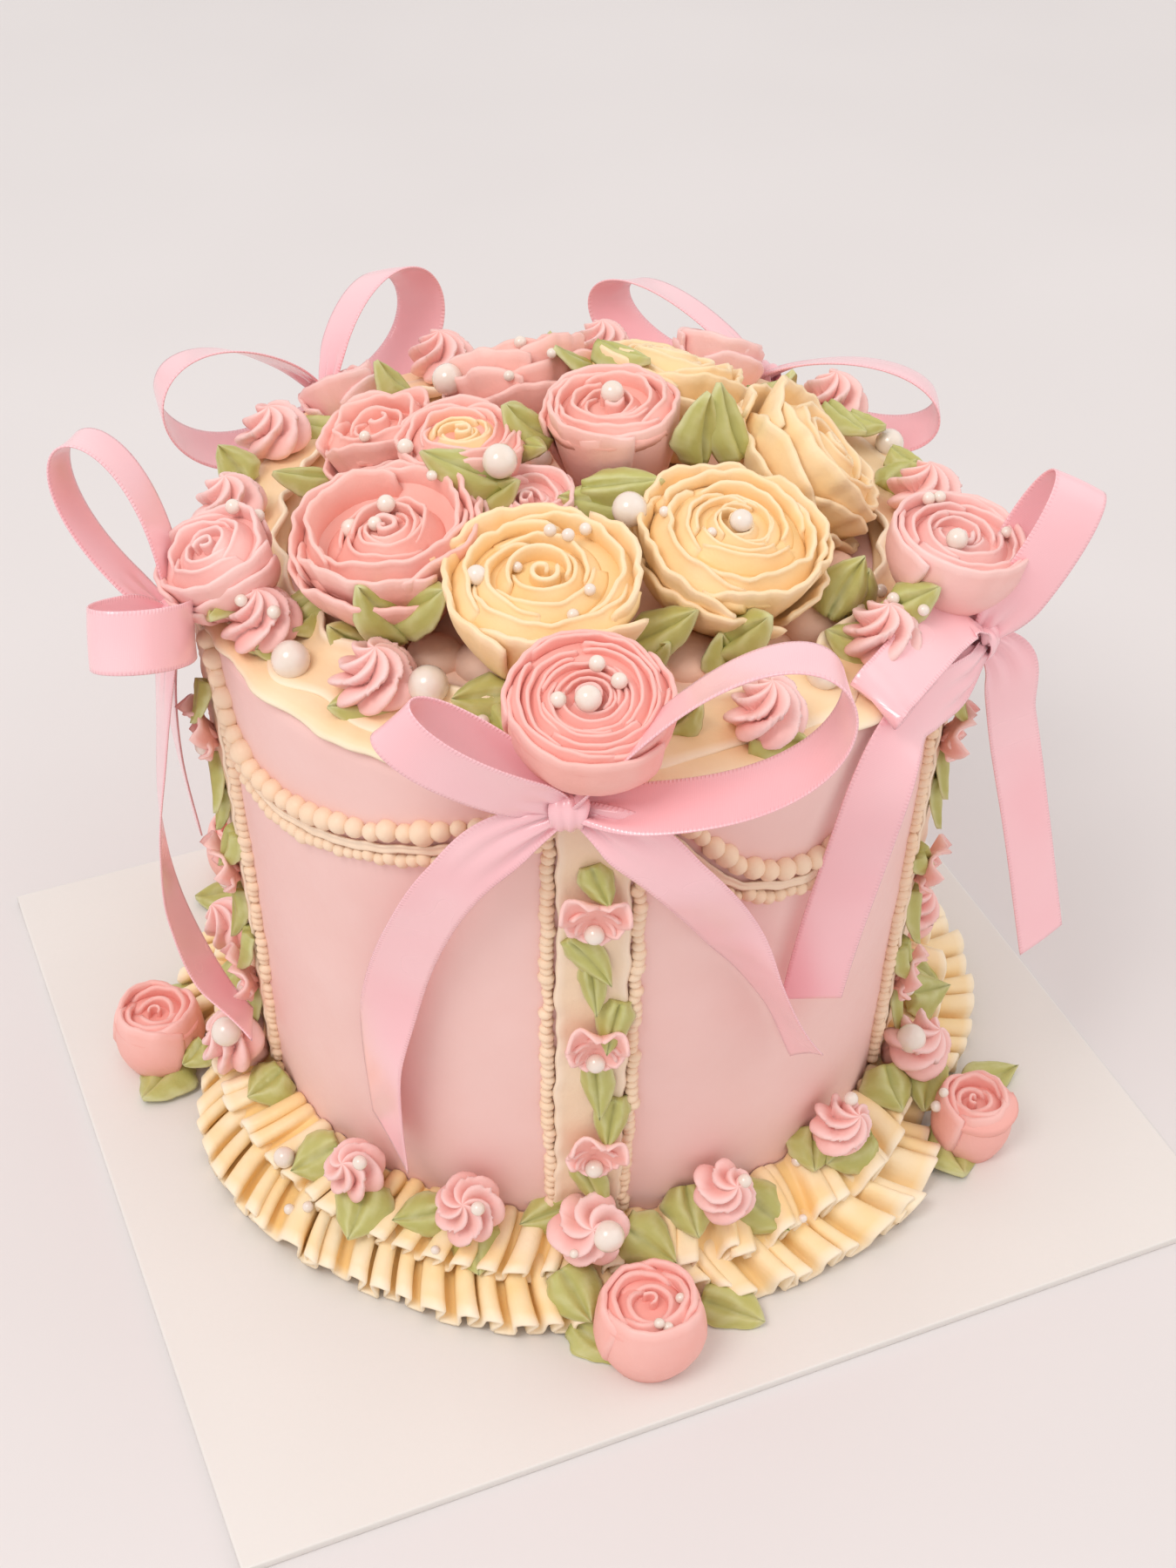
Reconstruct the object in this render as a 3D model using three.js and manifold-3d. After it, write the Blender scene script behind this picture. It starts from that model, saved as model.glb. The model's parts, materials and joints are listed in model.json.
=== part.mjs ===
// One-tier celebration cake on its board: piped roses, rosettes, ruffle, columns and ribbon bows.
// Millimetres, +Z up, origin at the middle of the board's underside, X along the board's long side.
import * as THREE from "three";
import { mergeVertices } from "three/addons/utils/BufferGeometryUtils.js";
import Module from "manifold-3d";

const wasm = await Module();
wasm.setup();
const { Manifold, Mesh } = wasm;

// ---------------------------------------------------------------- driving dimensions
const BOARD = { x: 254, y: 229.5, t: 2.4 };
const CAKE = { x: 3.2, y: 12.1, rBottom: 81.6, rTop: 86.7, h: 152.7 };
const FRONT = -20.56; // azimuth of the front column, degrees from -Y towards +X
const COLUMNS = { front: 0, right: 70, back_right: 146, back_left: -140, left: -73 };
const GAP = 0.4; // clearance between neighbouring pieces
const BORDER = { rIn: 63, rOut: 87.2, thick: 2.6, edge: 1.2, waves: 14, wave: 0.8 };
const BED = { r: 57, low: 2.8, high: 9.6 };
const RUFFLE = { pleats: 24, rOut: 107, rStep: 96, top: 17, step: 10.5, lip: 4, back: 7 };
const STRIP = { width: 14.5, thick: 1.8, z0: 31, z1: 144 };
const RIBBON = { width: 13, thick: 0.8 };
const KNOT = { r: 90, z: 150 };

// name: [radius, azimuth, height of the face above the board, outward tilt, rose radius, rose depth, colour]
const RIM_ROSES = {
  front: [87, -0.9, 178.5, 15, 16.3, 20, "pink"],
  right: [85.5, 70.4, 175.5, 10, 14.4, 17.5, "pink"],
  back_right: [84, 153, 164.5, 32, 10, 14, "pink"],
  back_left: [85, -136.5, 162, 34, 9.2, 13, "pink"],
  left: [86, -71, 174, 24, 12.4, 17, "pink"],
};
const TOP_ROSES = {
  a: [51.8, -11.1, 182.7, 8, 20.2, 25, "cream"],
  b: [46.7, 43, 182.7, 13, 19.4, 25, "cream"],
  c: [58, 96, 176.5, 48, 17.5, 22, "cream"],
  d: [42, 148, 183, 26, 17.5, 24, "cream"],
  e: [53, -54, 182.6, 10, 19, 25.5, "pink"],
  f: [6.5, 110, 190.5, -6, 14.6, 27, "pink"],
  g: [27, -83, 187.5, 4, 13.2, 23, "pink"],
  h: [49, -108, 178.5, 16, 12.6, 20, "pink"],
  i: [46, -161, 180, 38, 15.5, 22, "pink"],
};
// [radius, azimuth, base height above the board, outward tilt, radius, depth]
const RIM_ROSETTES = [
  [78.6, -62, 156, 6, 9.2, 12.5], [73, -37.6, 156, 4, 9.4, 12.5], [80, -96, 156, 6, 9.2, 11.5],
  [81, -118, 156, 6, 9, 11.5], [79, -156, 156, 4, 8.4, 12], [78.5, 26.4, 156, 6, 8.8, 12],
  [77, 54, 156, 4, 9.2, 12], [80, 96.5, 156, 6, 8.8, 12], [80, 128, 156, 6, 8.6, 12.5], [78, 174, 156, 4, 7.6, 11.5],
];
const LOW_ROSETTES = [
  [89.2, -37, 20.5, 38, 7.8, 13], [89, -18, 22, 38, 8.5, 13], [88.8, 20.7, 24, 38, 7.8, 13], [88.6, 42.6, 25.6, 38, 7.6, 13],
  [89.2, 97, 21.5, 38, 8.2, 13], [89.2, 121, 21.5, 38, 7.8, 13], [89.2, 171, 21.5, 38, 8.2, 13], [89.2, -166, 21.5, 38, 7.8, 13],
  [89.2, -117, 21.5, 38, 8.2, 13], [89.2, -97, 21.5, 38, 7.8, 13],
];
const FOOT_ROSETTE = [89.8, 20, 42, 9.4, 13]; // radius, base height, tilt, radius, depth
const FOOT_ROSETTE_AZ = { front: 0, right: 67.5, back_right: 147, back_left: -139, left: -71.3 };
const ROSETTE_FOOT = 0.4; // share of the depth that a rosette by the ruffle reaches down to it
// radius, azimuth, rose radius, rose height
const FOOT_ROSE = {
  front: [110.5, 7.1, 12.4, 19.5], right: [110.5, 64.4, 9.8, 17], back_right: [110.5, 153, 10.5, 17.5],
  back_left: [110.5, -123, 10.5, 17.5], left: [110.5, -83.5, 11.2, 18],
};

// Bows, in the frame of each knot: u along the wall, v up, w outwards; rise above the other knots.
// loop: [tip u,v,w], [half opening u,v,w], cone degrees, pinch; tail rows: u, v, w, roll, width; flat loop rows: u, v, w, width
const BOWS = {
  front: {
    az: -3.6, rise: 4,
    loops: [[[-33.5, 24.5, 5], [-0.5, 1.5, -5], 0, 0.5], [[52, 35, 5], [-4, 13.5, 0], -12, 0.55]],
    tails: [
      [[-2.6, -1, 4.4, 0, 5], [-11.5, -6, 5.5, 0, 12], [-23, -20, 4, 0, 13], [-32, -40, -0.5, 0, 13], [-38.5, -64, -6, 12, 13], [-42, -86, -10, 42, 13], [-42, -106, -12, 50, 13], [-41, -124, -12.5, 52, 12]],
      [[2.6, -1, 2.8, 0, 5], [10, -4, 5.5, 0, 12], [23, -18, 4.5, 0, 13], [35, -41.2, -4.6, 10, 13], [41.6, -56.4, -8.2, 40, 13], [47.7, -70, -10.5, 52, 13], [56.6, -91.8, -16, 34, 12]],
    ],
  },
  right: {
    az: 68, rise: 1,
    loops: [[[15, 35, 13.5], [-4.8, 2.5, 3.5], 0, 0.4]],
    tails: [
      [[-2.6, -1, 4.4, 0, 5], [-12, -2, 3.2, 0, 12], [-21, -1.5, -0.5, 8, 13], [-29.2, -0.8, -4.2, 22, 13], [-37.6, -4, -6, 48, 13], [-43.2, -11.8, -7.3, 70, 13], [-48.1, -26, -9.5, 79, 13], [-51.7, -45.1, -12.5, 80, 13], [-52.1, -69.9, -15.6, 74, 13]],
      [[2.6, -1, 2.8, 0, 5], [5, -7, 8, 30, 12], [9, -28, 12, 40, 13], [9.5, -60, 20, 40, 13], [9, -92, 28, 40, 13]],
    ],
    flat: {
      side: [-0.40, -0.457, 0.794],
      rows: [
        [[-1.6, 1, 3.6, 5], [-4.2, 8.8, -1, 13], [-11, 9.4, -3.6, 13], [-20.7, 8.8, -6.4, 13], [-30, 7.6, -9.2, 13], [-36.6, 6, -11.3, 13]],
        [[-36.6, 6, -11.3, 13], [-35.4, 4.2, -11.6, 13], [-21, 5.6, -7.8, 13], [-8, 4.6, -1.5, 11], [-1.4, -0.5, 2.6, 5]],
      ],
    },
  },
  left: {
    az: -72.5, rise: 4,
    loops: [[[24, 14, 16], [-3, 0, 9], 0, 0.3], [[-19, 37, 14.8], [2.6, 3.4, -6.6], 0, 0.4]],
    tails: [
      [[2.6, -1, 4.6, 0, 5], [-2, -15, 7, 0, 12], [-7, -40, 9.5, 4, 13], [-8.5, -66, 12, 12, 13], [-7.5, -92, 11, 26, 13], [2, -109, 6, 40, 13], [17, -116, -3, 44, 12]],
      [[-2.6, -1, 2.6, 0, 5], [-12, -18, 4, 0, 12], [-20, -48, 4, 0, 13], [-26, -82, 1, 0, 13]],
    ],
  },
  back_left: {
    az: -139, rise: 0,
    loops: [[[46, 15, 5], [0, 14, 0], 20, 0.3], [[-33, 20, 5], [7, 11, 0], -20, 0.3]],
    tails: [
      [[-2.6, -1, 4.4, 0, 5], [-13, -9, 6, 0, 12], [-26, -30, 4, 0, 13], [-33, -60, 0, 20, 13], [-36, -92, -3, 10, 13]],
      [[2.6, -1, 2.8, 0, 5], [13, -9, 6, 0, 12], [25, -28, 5, 0, 13], [33, -58, 1, -20, 13], [37, -88, -3, -10, 13]],
    ],
  },
  back_right: {
    az: 148, rise: 0,
    loops: [[[48, 8, 5], [0, 10, 0], 20, 0.3], [[-46, 2, 6], [0, 10, 0], -20, 0.3]],
    tails: [
      [[-2.6, -1, 4.4, 0, 5], [-13, -9, 6, 0, 12], [-25, -28, 5, 0, 13], [-33, -58, 1, 20, 13], [-37, -88, -3, 10, 13]],
      [[2.6, -1, 2.8, 0, 5], [13, -9, 6, 0, 12], [26, -30, 4, 0, 13], [33, -60, 0, -20, 13], [36, -92, -3, -10, 13]],
    ],
  },
};

// ---------------------------------------------------------------- helpers
const DEG = Math.PI / 180;
const V = (x, y, z) => new THREE.Vector3(x, y, z);
const ang = (az) => (az + FRONT) * DEG;
const outward = (az) => V(Math.sin(ang(az)), -Math.cos(ang(az)), 0);
const along = (az) => V(Math.cos(ang(az)), Math.sin(ang(az)), 0);
const at = (r, az, z) => V(CAKE.x, CAKE.y, BOARD.t + z).addScaledVector(outward(az), r);
const wall = (z) => CAKE.rBottom + ((CAKE.rTop - CAKE.rBottom) * z) / CAKE.h;
const smooth = (a, b, x) => { const t = Math.min(1, Math.max(0, (x - a) / (b - a))); return t * t * (3 - 2 * t); };
const turn = (az, a, b) => { let d = (az - a) % 360; if (d > 180) d -= 360; if (d < -180) d += 360; return Math.exp(-((d / b) ** 2)); };

function solid(points, tris) {
  const make = (t) => new Manifold(new Mesh({ numProp: 3, vertProperties: new Float32Array(points.flatMap((p) => [p.x, p.y, p.z])), triVerts: new Uint32Array(t) }));
  const m = make(tris);
  if (m.volume() > 0) return m;
  const flipped = [];
  for (let i = 0; i < tris.length; i += 3) flipped.push(tris[i], tris[i + 2], tris[i + 1]);
  return make(flipped);
}

// A closed three.js geometry as a solid, its shared vertices merged.
function solidOf(geometry) {
  geometry.deleteAttribute("normal");
  geometry.deleteAttribute("uv");
  const g = mergeVertices(geometry, 1e-4);
  return new Manifold(new Mesh({ numProp: 3, vertProperties: g.getAttribute("position").array, triVerts: new Uint32Array(g.index.array) }));
}

// Rings of equal count, joined one to the next and closed with a point at each end.
function stack(rings, bottom, top) {
  const n = rings[0].length, pts = rings.flat(), tris = [];
  for (let k = 0; k + 1 < rings.length; k++)
    for (let j = 0; j < n; j++) {
      const a = k * n + j, b = k * n + ((j + 1) % n), c = a + n, d = b + n;
      tris.push(a, b, d, a, d, c);
    }
  const ib = pts.push(bottom) - 1, it = pts.push(top) - 1, last = (rings.length - 1) * n;
  for (let j = 0; j < n; j++) tris.push(ib, (j + 1) % n, j, it, last + j, last + ((j + 1) % n));
  return solid(pts, tris);
}

// A ring round the cake's axis from a section that may change with the azimuth.
function ring(count, section) {
  const pts = [], tris = [];
  let m = 0;
  for (let i = 0; i < count; i++) {
    const az = (360 * i) / count, s = section(az, i);
    m = s.length;
    for (const [r, z] of s) pts.push(at(r, az, z));
  }
  for (let i = 0; i < count; i++)
    for (let k = 0; k < m; k++) {
      const a = i * m + k, b = i * m + ((k + 1) % m), c = ((i + 1) % count) * m + k, d = ((i + 1) % count) * m + ((k + 1) % m);
      tris.push(a, b, d, a, d, c);
    }
  return solid(pts, tris);
}

// Turns a piece built on +Z so that it stands at base along axis.
function stand(base, az, tilt, spin) {
  const axis = outward(az).multiplyScalar(Math.sin(tilt * DEG)).add(V(0, 0, Math.cos(tilt * DEG)));
  const side = along(az), fore = new THREE.Vector3().crossVectors(axis, side);
  const c = Math.cos(spin), s = Math.sin(spin);
  return (x, y, z) => base.clone().addScaledVector(side, x * c - y * s).addScaledVector(fore, x * s + y * c).addScaledVector(axis, z);
}

// A piped rose: cup of lobed petals, two raised turns and a bud.
const ROSE_ROWS = [
  [0.0, 0.6, 0, 0], [0.45, 0.92, 0.03, 0], [0.93, 1.0, 0.05, 0.05], [0.76, 0.76, 0.03, 0],
  [0.98, 0.6, 0.06, 0.04], [0.82, 0.42, 0.04, 0], [1.0, 0.22, 0.05, 0],
];
function rose(f, R, h, spin, n = 9) {
  const rows = ROSE_ROWS.map(([z, r, lobe, lift], k) =>
    Array.from({ length: n }, (_, j) => {
      const t = (2 * Math.PI * j) / n, w = Math.cos(3 * t + 1.7 * k + spin), rr = R * r * (1 + lobe * w);
      return f(rr * Math.cos(t), rr * Math.sin(t), h * (z + lift * w));
    }));
  return stack(rows, f(0, 0, 0), f(0, 0, 0.94 * h));
}

// A piped rosette: a star of lobes that twists as it narrows to its tip.
function rosette(f, R, h, spin, foot = 0, lobes = 5) {
  const n = lobes * 2;
  const rows = [[-foot, foot ? 0.5 : 0.72, 0.06, 0], [0.3, 0.86, 0.16, 0.25], [0.7, 0.52, 0.24, 0.7]].map(([z, r, d, tw]) =>
    Array.from({ length: n }, (_, j) => {
      const t = (2 * Math.PI * j) / n + tw + spin, rr = R * r * (1 + (j % 2 ? -d : d));
      return f(rr * Math.cos(t), rr * Math.sin(t), h * z);
    }));
  return stack(rows, f(0, 0, -foot * h), f(0, 0, h));
}

function sweep(stations, grow = 0) {
  const pts = [], tris = [], n = stations.length;
  stations.forEach(({ c, w, width }, i) => {
    const t = stations[Math.min(i + 1, n - 1)].c.clone().sub(stations[Math.max(i - 1, 0)].c).normalize();
    const b = w.clone().addScaledVector(t, -w.dot(t)).normalize(), nn = new THREE.Vector3().crossVectors(t, b);
    const hw = width / 2 + grow, ht = RIBBON.thick / 2 + grow;
    for (const [x, y] of [[-1, -1], [1, -1], [1, 1], [-1, 1]])
      pts.push(c.clone().addScaledVector(b, x * hw).addScaledVector(nn, y * ht));
  });
  for (let i = 0; i + 1 < n; i++)
    for (let k = 0; k < 4; k++) {
      const a = i * 4 + k, b = i * 4 + ((k + 1) % 4);
      tris.push(a, b, b + 4, a, b + 4, a + 4);
    }
  const e = (n - 1) * 4;
  tris.push(0, 2, 1, 0, 3, 2, e, e + 1, e + 2, e, e + 2, e + 3);
  return solid(pts, tris);
}

// A ribbon loop that leaves the knot, opens along e round its tip and comes back.
function loopStations(tip, e, cone, pinch, s0, s1, n) {
  const T = V(...tip), E = V(...e), N = new THREE.Vector3().crossVectors(T, E).normalize();
  const curve = (s) => {
    const A = (1 - Math.cos(2 * Math.PI * s)) / 2;
    const B = (Math.sin(2 * Math.PI * s) * A ** pinch) / Math.max(...[0.25, 0.3, 0.35].map((q) => Math.sin(2 * Math.PI * q) * ((1 - Math.cos(2 * Math.PI * q)) / 2) ** pinch));
    return T.clone().multiplyScalar(A).addScaledVector(E, B).add(V(0, 0, 3));
  };
  return Array.from({ length: n + 1 }, (_, i) => {
    const s = s0 + ((s1 - s0) * i) / n, d = curve(s + 0.002).sub(curve(s - 0.002)).normalize();
    const out = new THREE.Vector3().crossVectors(d, N), a = cone * DEG;
    return { c: curve(s), w: N.clone().multiplyScalar(Math.cos(a)).addScaledVector(out, Math.sin(a)), width: RIBBON.width * (0.35 + 0.65 * smooth(0, 0.16, Math.min(s, 1 - s))) };
  });
}

function tailStations(rows) {
  return rows.map(([u, v, w, roll, width], i) => {
    const a = rows[Math.max(i - 1, 0)], b = rows[Math.min(i + 1, rows.length - 1)];
    const t = V(b[0] - a[0], b[1] - a[1], b[2] - a[2]).normalize();
    const side = new THREE.Vector3().crossVectors(V(0, 0, 1), t).normalize(), up = new THREE.Vector3().crossVectors(t, side);
    return { c: V(u, v, w), w: side.multiplyScalar(Math.cos(roll * DEG)).addScaledVector(up, Math.sin(roll * DEG)), width };
  });
}

function bow(spec, grow = 0) {
  const o = at(KNOT.r, spec.az, KNOT.z + spec.rise), ux = along(spec.az), wx = outward(spec.az);
  const turnTo = (p) => V(0, 0, 0).addScaledVector(ux, p.x).addScaledVector(V(0, 0, 1), p.y).addScaledVector(wx, p.z);
  const toWorld = (sts) => sts.map(({ c, w, width }) => ({ c: turnTo(c).add(o), w: turnTo(w), width }));
  const pieces = [];
  for (const [tip, e, cone, pinch] of spec.loops) pieces.push(sweep(toWorld(loopStations(tip, e, cone, pinch, 0.085, 0.915, 8)), grow));
  for (const rows of spec.tails) pieces.push(sweep(toWorld(tailStations(rows)), grow));
  for (const rows of spec.flat ? spec.flat.rows : [])
    pieces.push(sweep(toWorld(rows.map(([u, v, w, width]) => ({ c: V(u, v, w), w: V(...spec.flat.side), width }))), grow));
  const f = (x, y, z) => o.clone().add(turnTo(V(x, y, z)));
  const knotRing = (x, k) => Array.from({ length: 8 }, (_, j) => f(x, (k + grow) * Math.sin((j * Math.PI) / 4), 3.6 + (0.62 * k + grow) * Math.cos((j * Math.PI) / 4)));
  pieces.push(stack([knotRing(-5.2 - grow, 4.4), knotRing(0, 5.2), knotRing(5.2 + grow, 4.4)], f(-5.2 - grow, 0, 3.6), f(5.2 + grow, 0, 3.6)));
  return Manifold.union(pieces);
}

function grown(m, gap = GAP) {
  const b = m.boundingBox(), c = [0, 1, 2].map((i) => (b.min[i] + b.max[i]) / 2), k = [0, 1, 2].map((i) => 1 + (2 * gap) / (b.max[i] - b.min[i]));
  return m.translate(-c[0], -c[1], -c[2]).scale(k).translate(c[0], c[1], c[2]);
}
const biggest = (m) => m.decompose().reduce((a, b) => (b.volume() > a.volume() ? b : a));

// ---------------------------------------------------------------- pieces
const COLOURS = { board: 0xf4ebe2, body: 0xf0c6bd, cream: 0xf6e3bd, pink: 0xf0a9a6, ribbon: 0xf9b9cc, bed: 0xe0a894 };
const pieces = new Map(); // name -> [solid, colour]
const cutters = []; // solids that later pieces keep clear of
function add(name, m, colour, cuts = true) {
  let s = m;
  for (const c of cutters) if (s.intersect(c).volume() > 0) s = s.subtract(c);
  s = biggest(s);
  pieces.set(name, [s, colour]);
  if (cuts) cutters.push(grown(m, 1.5 * GAP));
}

// Cake body: slightly tapered, with a softened rim.
const section = [[0, 0], [CAKE.rBottom, 0], [CAKE.rTop, CAKE.h - 3.6 - GAP], [CAKE.rTop - 1, CAKE.h - 0.9 - GAP], [CAKE.rTop - 3.4, CAKE.h - GAP], [0, CAKE.h - GAP]];
const lathe = new THREE.LatheGeometry(section.map(([r, z]) => new THREE.Vector2(r, z)), 32).rotateX(Math.PI / 2);
lathe.translate(CAKE.x, CAKE.y, BOARD.t + GAP);
const body = solidOf(lathe), bodyKeep = grown(body, 0.8 * GAP);

// Bows first, so that everything else gives way to them.
for (const [name, spec] of Object.entries(BOWS)) {
  const m = bow(spec);
  pieces.set("bow_" + name, [biggest(m), "ribbon"]);
  cutters.push(bow(spec, GAP));
}
let turnBy = 0;
const roseAt = ([r, az, z, tilt, R, h]) => {
  const base = at(r, az, z).addScaledVector(outward(az), -h * Math.sin(tilt * DEG)).add(V(0, 0, -h * Math.cos(tilt * DEG)));
  return rose(stand(base, az, tilt, (turnBy += 0.9)), R, h, turnBy);
};
for (const [k, row] of Object.entries(RIM_ROSES)) add("rim_rose_" + k, roseAt(row).subtract(bodyKeep), row[6]); // the tipped ones rest on the rim
for (const [k, row] of Object.entries(TOP_ROSES)) add("top_rose_" + k, roseAt(row), row[6]);
for (const [k, [r, az, R, h]] of Object.entries(FOOT_ROSE))
  add("foot_rose_" + k, rose(stand(at(r, az, GAP), az, 0, (turnBy += 0.9)), R, h, turnBy), "pink");
for (const [k, az] of Object.entries(FOOT_ROSETTE_AZ)) {
  const [r, z, tilt, R, h] = FOOT_ROSETTE;
  add("foot_rosette_" + k, rosette(stand(at(r, az, z), az, tilt, (turnBy += 0.9)), R, h, 0, ROSETTE_FOOT), "pink");
}
RIM_ROSETTES.forEach(([r, az, z, tilt, R, h], i) => add("rim_rosette_" + (i + 1), rosette(stand(at(r, az, z), az, tilt, (turnBy += 0.9)), R, h, 0), "pink"));
LOW_ROSETTES.forEach(([r, az, z, tilt, R, h], i) => add("low_rosette_" + (i + 1), rosette(stand(at(r, az, z), az, tilt, (turnBy += 0.9)), R, h, 0, ROSETTE_FOOT), "pink"));

// Columns: thin curved strips up the wall.
for (const [k, az] of Object.entries(COLUMNS)) {
  const n = 4, rows = 2, pts = [], tris = [];
  for (const off of [GAP, GAP + STRIP.thick])
    for (let i = 0; i <= rows; i++)
      for (let j = 0; j <= n; j++) {
        const z = STRIP.z0 + ((STRIP.z1 - STRIP.z0) * i) / rows;
        pts.push(at(wall(z) + off, az + ((j / n - 0.5) * STRIP.width) / (CAKE.rTop * DEG), z));
      }
  const m = n + 1, layer = (rows + 1) * m, id = (l, i, j) => l * layer + i * m + j;
  for (let i = 0; i < rows; i++)
    for (let j = 0; j < n; j++) {
      tris.push(id(0, i, j), id(0, i + 1, j + 1), id(0, i, j + 1), id(0, i, j), id(0, i + 1, j), id(0, i + 1, j + 1));
      tris.push(id(1, i, j), id(1, i, j + 1), id(1, i + 1, j + 1), id(1, i, j), id(1, i + 1, j + 1), id(1, i + 1, j));
    }
  for (let j = 0; j < n; j++) {
    tris.push(id(0, 0, j), id(0, 0, j + 1), id(1, 0, j + 1), id(0, 0, j), id(1, 0, j + 1), id(1, 0, j));
    tris.push(id(0, rows, j), id(1, rows, j + 1), id(0, rows, j + 1), id(0, rows, j), id(1, rows, j), id(1, rows, j + 1));
  }
  for (let i = 0; i < rows; i++) {
    tris.push(id(0, i, 0), id(1, i, 0), id(1, i + 1, 0), id(0, i, 0), id(1, i + 1, 0), id(0, i + 1, 0));
    tris.push(id(0, i, n), id(1, i + 1, n), id(1, i, n), id(0, i, n), id(0, i + 1, n), id(1, i + 1, n));
  }
  add("column_" + k, solid(pts, tris), "cream");
}

// Icing bed under the roses, higher in the middle.
const bedRow = (r) => Array.from({ length: 16 }, (_, j) => {
  const az = 22.5 * j, rr = r * (1 + 0.035 * Math.cos(5 * az * DEG));
  return at(rr, az, CAKE.h + GAP + (r > BED.r - 1 ? 0 : BED.low + (BED.high - BED.low) * smooth(46, 20, r)));
});
add("rose_bed", stack([bedRow(BED.r), bedRow(BED.r - 3), bedRow(44), bedRow(32), bedRow(20)], at(0, 0, CAKE.h + GAP), at(0, 0, CAKE.h + GAP + BED.high)), "bed", false);

// Cream border round the rim, with waved edges.
add("top_border", ring(BORDER.waves * 2, (az, i) => {
  const w = (i % 2 ? 1 : -1) * BORDER.wave * 0.5, H = CAKE.h;
  return [[BORDER.rIn + w, H + GAP], [BORDER.rIn + w + 0.4, H + 2], [76, H + BORDER.thick], [86, H + 2], [BORDER.rOut + w, H + BORDER.edge], [BORDER.rOut + w, H + GAP]];
}), "cream", false);

// Pleated ruffle round the foot, in two steps, drawn in at the roses of the foot.
add("base_ruffle", ring(RUFFLE.pleats * 2, (az, i) => {
  const p = i % 2 ? 1 : -1, dip = Object.values(FOOT_ROSE).reduce((s, [, a]) => s + turn(az, a, 9), 0);
  const out = RUFFLE.rOut - Math.max(11 * Math.min(1, dip), RUFFLE.back * turn(az, 180 - FRONT, 45)) + p * 2, step = RUFFLE.rStep - 3 * Math.min(1, dip) + p * 1.2;
  return [[wall(0) + GAP, GAP], [out, GAP], [out, RUFFLE.lip + p * 0.6], [step + 1.5, RUFFLE.step - 2 + p * 0.5], [step, RUFFLE.step + 1.5], [wall(RUFFLE.top) + GAP + 1.6, RUFFLE.top], [wall(RUFFLE.top) + GAP, RUFFLE.top - 0.6]];
}), "cream", false);

pieces.set("cake_body", [body, "body"]);
pieces.set("board", [solidOf(new THREE.BoxGeometry(BOARD.x, BOARD.y, BOARD.t).translate(0, 0, BOARD.t / 2)), "board"]);

// ---------------------------------------------------------------- the group
// The cake stands on the board in a group of its own, and each piece keeps its own origin at its middle.
const FINISH = { board: 0.6, body: 0.62, cream: 0.55, pink: 0.55, ribbon: 0.36, bed: 0.6 };
const group = new THREE.Group();
const cake = new THREE.Group();
cake.position.set(CAKE.x, CAKE.y, BOARD.t);
group.add(cake);
for (const [name, [m, colour]] of pieces) {
  const data = m.getMesh(), n = data.numProp, v = new Float32Array(data.numVert * 3);
  const b = m.boundingBox(), holder = name === "board" ? group : cake;
  const middle = V(b.min[0] + b.max[0], b.min[1] + b.max[1], b.min[2] + b.max[2]).multiplyScalar(0.5);
  for (let i = 0; i < data.numVert; i++) {
    const q = data.vertProperties.subarray(i * n, i * n + 3);
    v.set([q[0] - middle.x, q[1] - middle.y, q[2] - middle.z], i * 3);
  }
  const g = new THREE.BufferGeometry().setAttribute("position", new THREE.BufferAttribute(v, 3)).setIndex(new THREE.BufferAttribute(data.triVerts.slice(), 1));
  g.computeVertexNormals();
  const mesh = new THREE.Mesh(g, new THREE.MeshStandardMaterial({ color: COLOURS[colour], roughness: FINISH[colour], metalness: 0 }));
  mesh.name = name;
  mesh.position.copy(middle).sub(holder.position);
  holder.add(mesh);
}
export default group;
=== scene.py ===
import json
import math

import bpy
import numpy as np
from mathutils import Matrix, Vector
from mathutils.bvhtree import BVHTree

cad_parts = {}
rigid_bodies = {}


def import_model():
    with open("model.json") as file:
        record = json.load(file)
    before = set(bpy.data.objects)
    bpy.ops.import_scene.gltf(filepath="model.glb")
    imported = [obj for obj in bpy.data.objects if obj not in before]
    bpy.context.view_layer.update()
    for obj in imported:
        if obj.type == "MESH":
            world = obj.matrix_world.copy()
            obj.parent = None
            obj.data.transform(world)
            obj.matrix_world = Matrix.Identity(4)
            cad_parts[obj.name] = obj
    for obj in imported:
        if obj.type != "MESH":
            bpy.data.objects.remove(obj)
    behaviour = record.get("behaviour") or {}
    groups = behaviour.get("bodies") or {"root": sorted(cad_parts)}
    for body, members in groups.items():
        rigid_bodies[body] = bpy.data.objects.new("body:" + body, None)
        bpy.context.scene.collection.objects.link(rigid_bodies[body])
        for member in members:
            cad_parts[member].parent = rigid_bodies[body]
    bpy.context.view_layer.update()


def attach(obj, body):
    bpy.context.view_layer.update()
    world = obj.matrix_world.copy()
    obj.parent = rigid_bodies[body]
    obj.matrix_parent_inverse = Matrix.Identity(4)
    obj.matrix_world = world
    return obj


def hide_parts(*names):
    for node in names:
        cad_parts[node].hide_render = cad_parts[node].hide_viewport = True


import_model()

MM = 0.001
DEG = math.pi / 180

# ---------------------------------------------------------------- sizes and places, in millimetres
BOARD = (254.0, 229.5, 2.4)
CX, CY, RB, RT, H = 3.2, 12.1, 81.6, 86.7, 152.7
FRONT = -20.56
COLUMNS = {"front": 0, "right": 70, "back_right": 146, "back_left": -140, "left": -73}
GAP = 0.4
STRIP = (14.5, 31.0, 144.0)
RIBBON = 13.0
KNOT = (90.0, 150.0)

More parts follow.
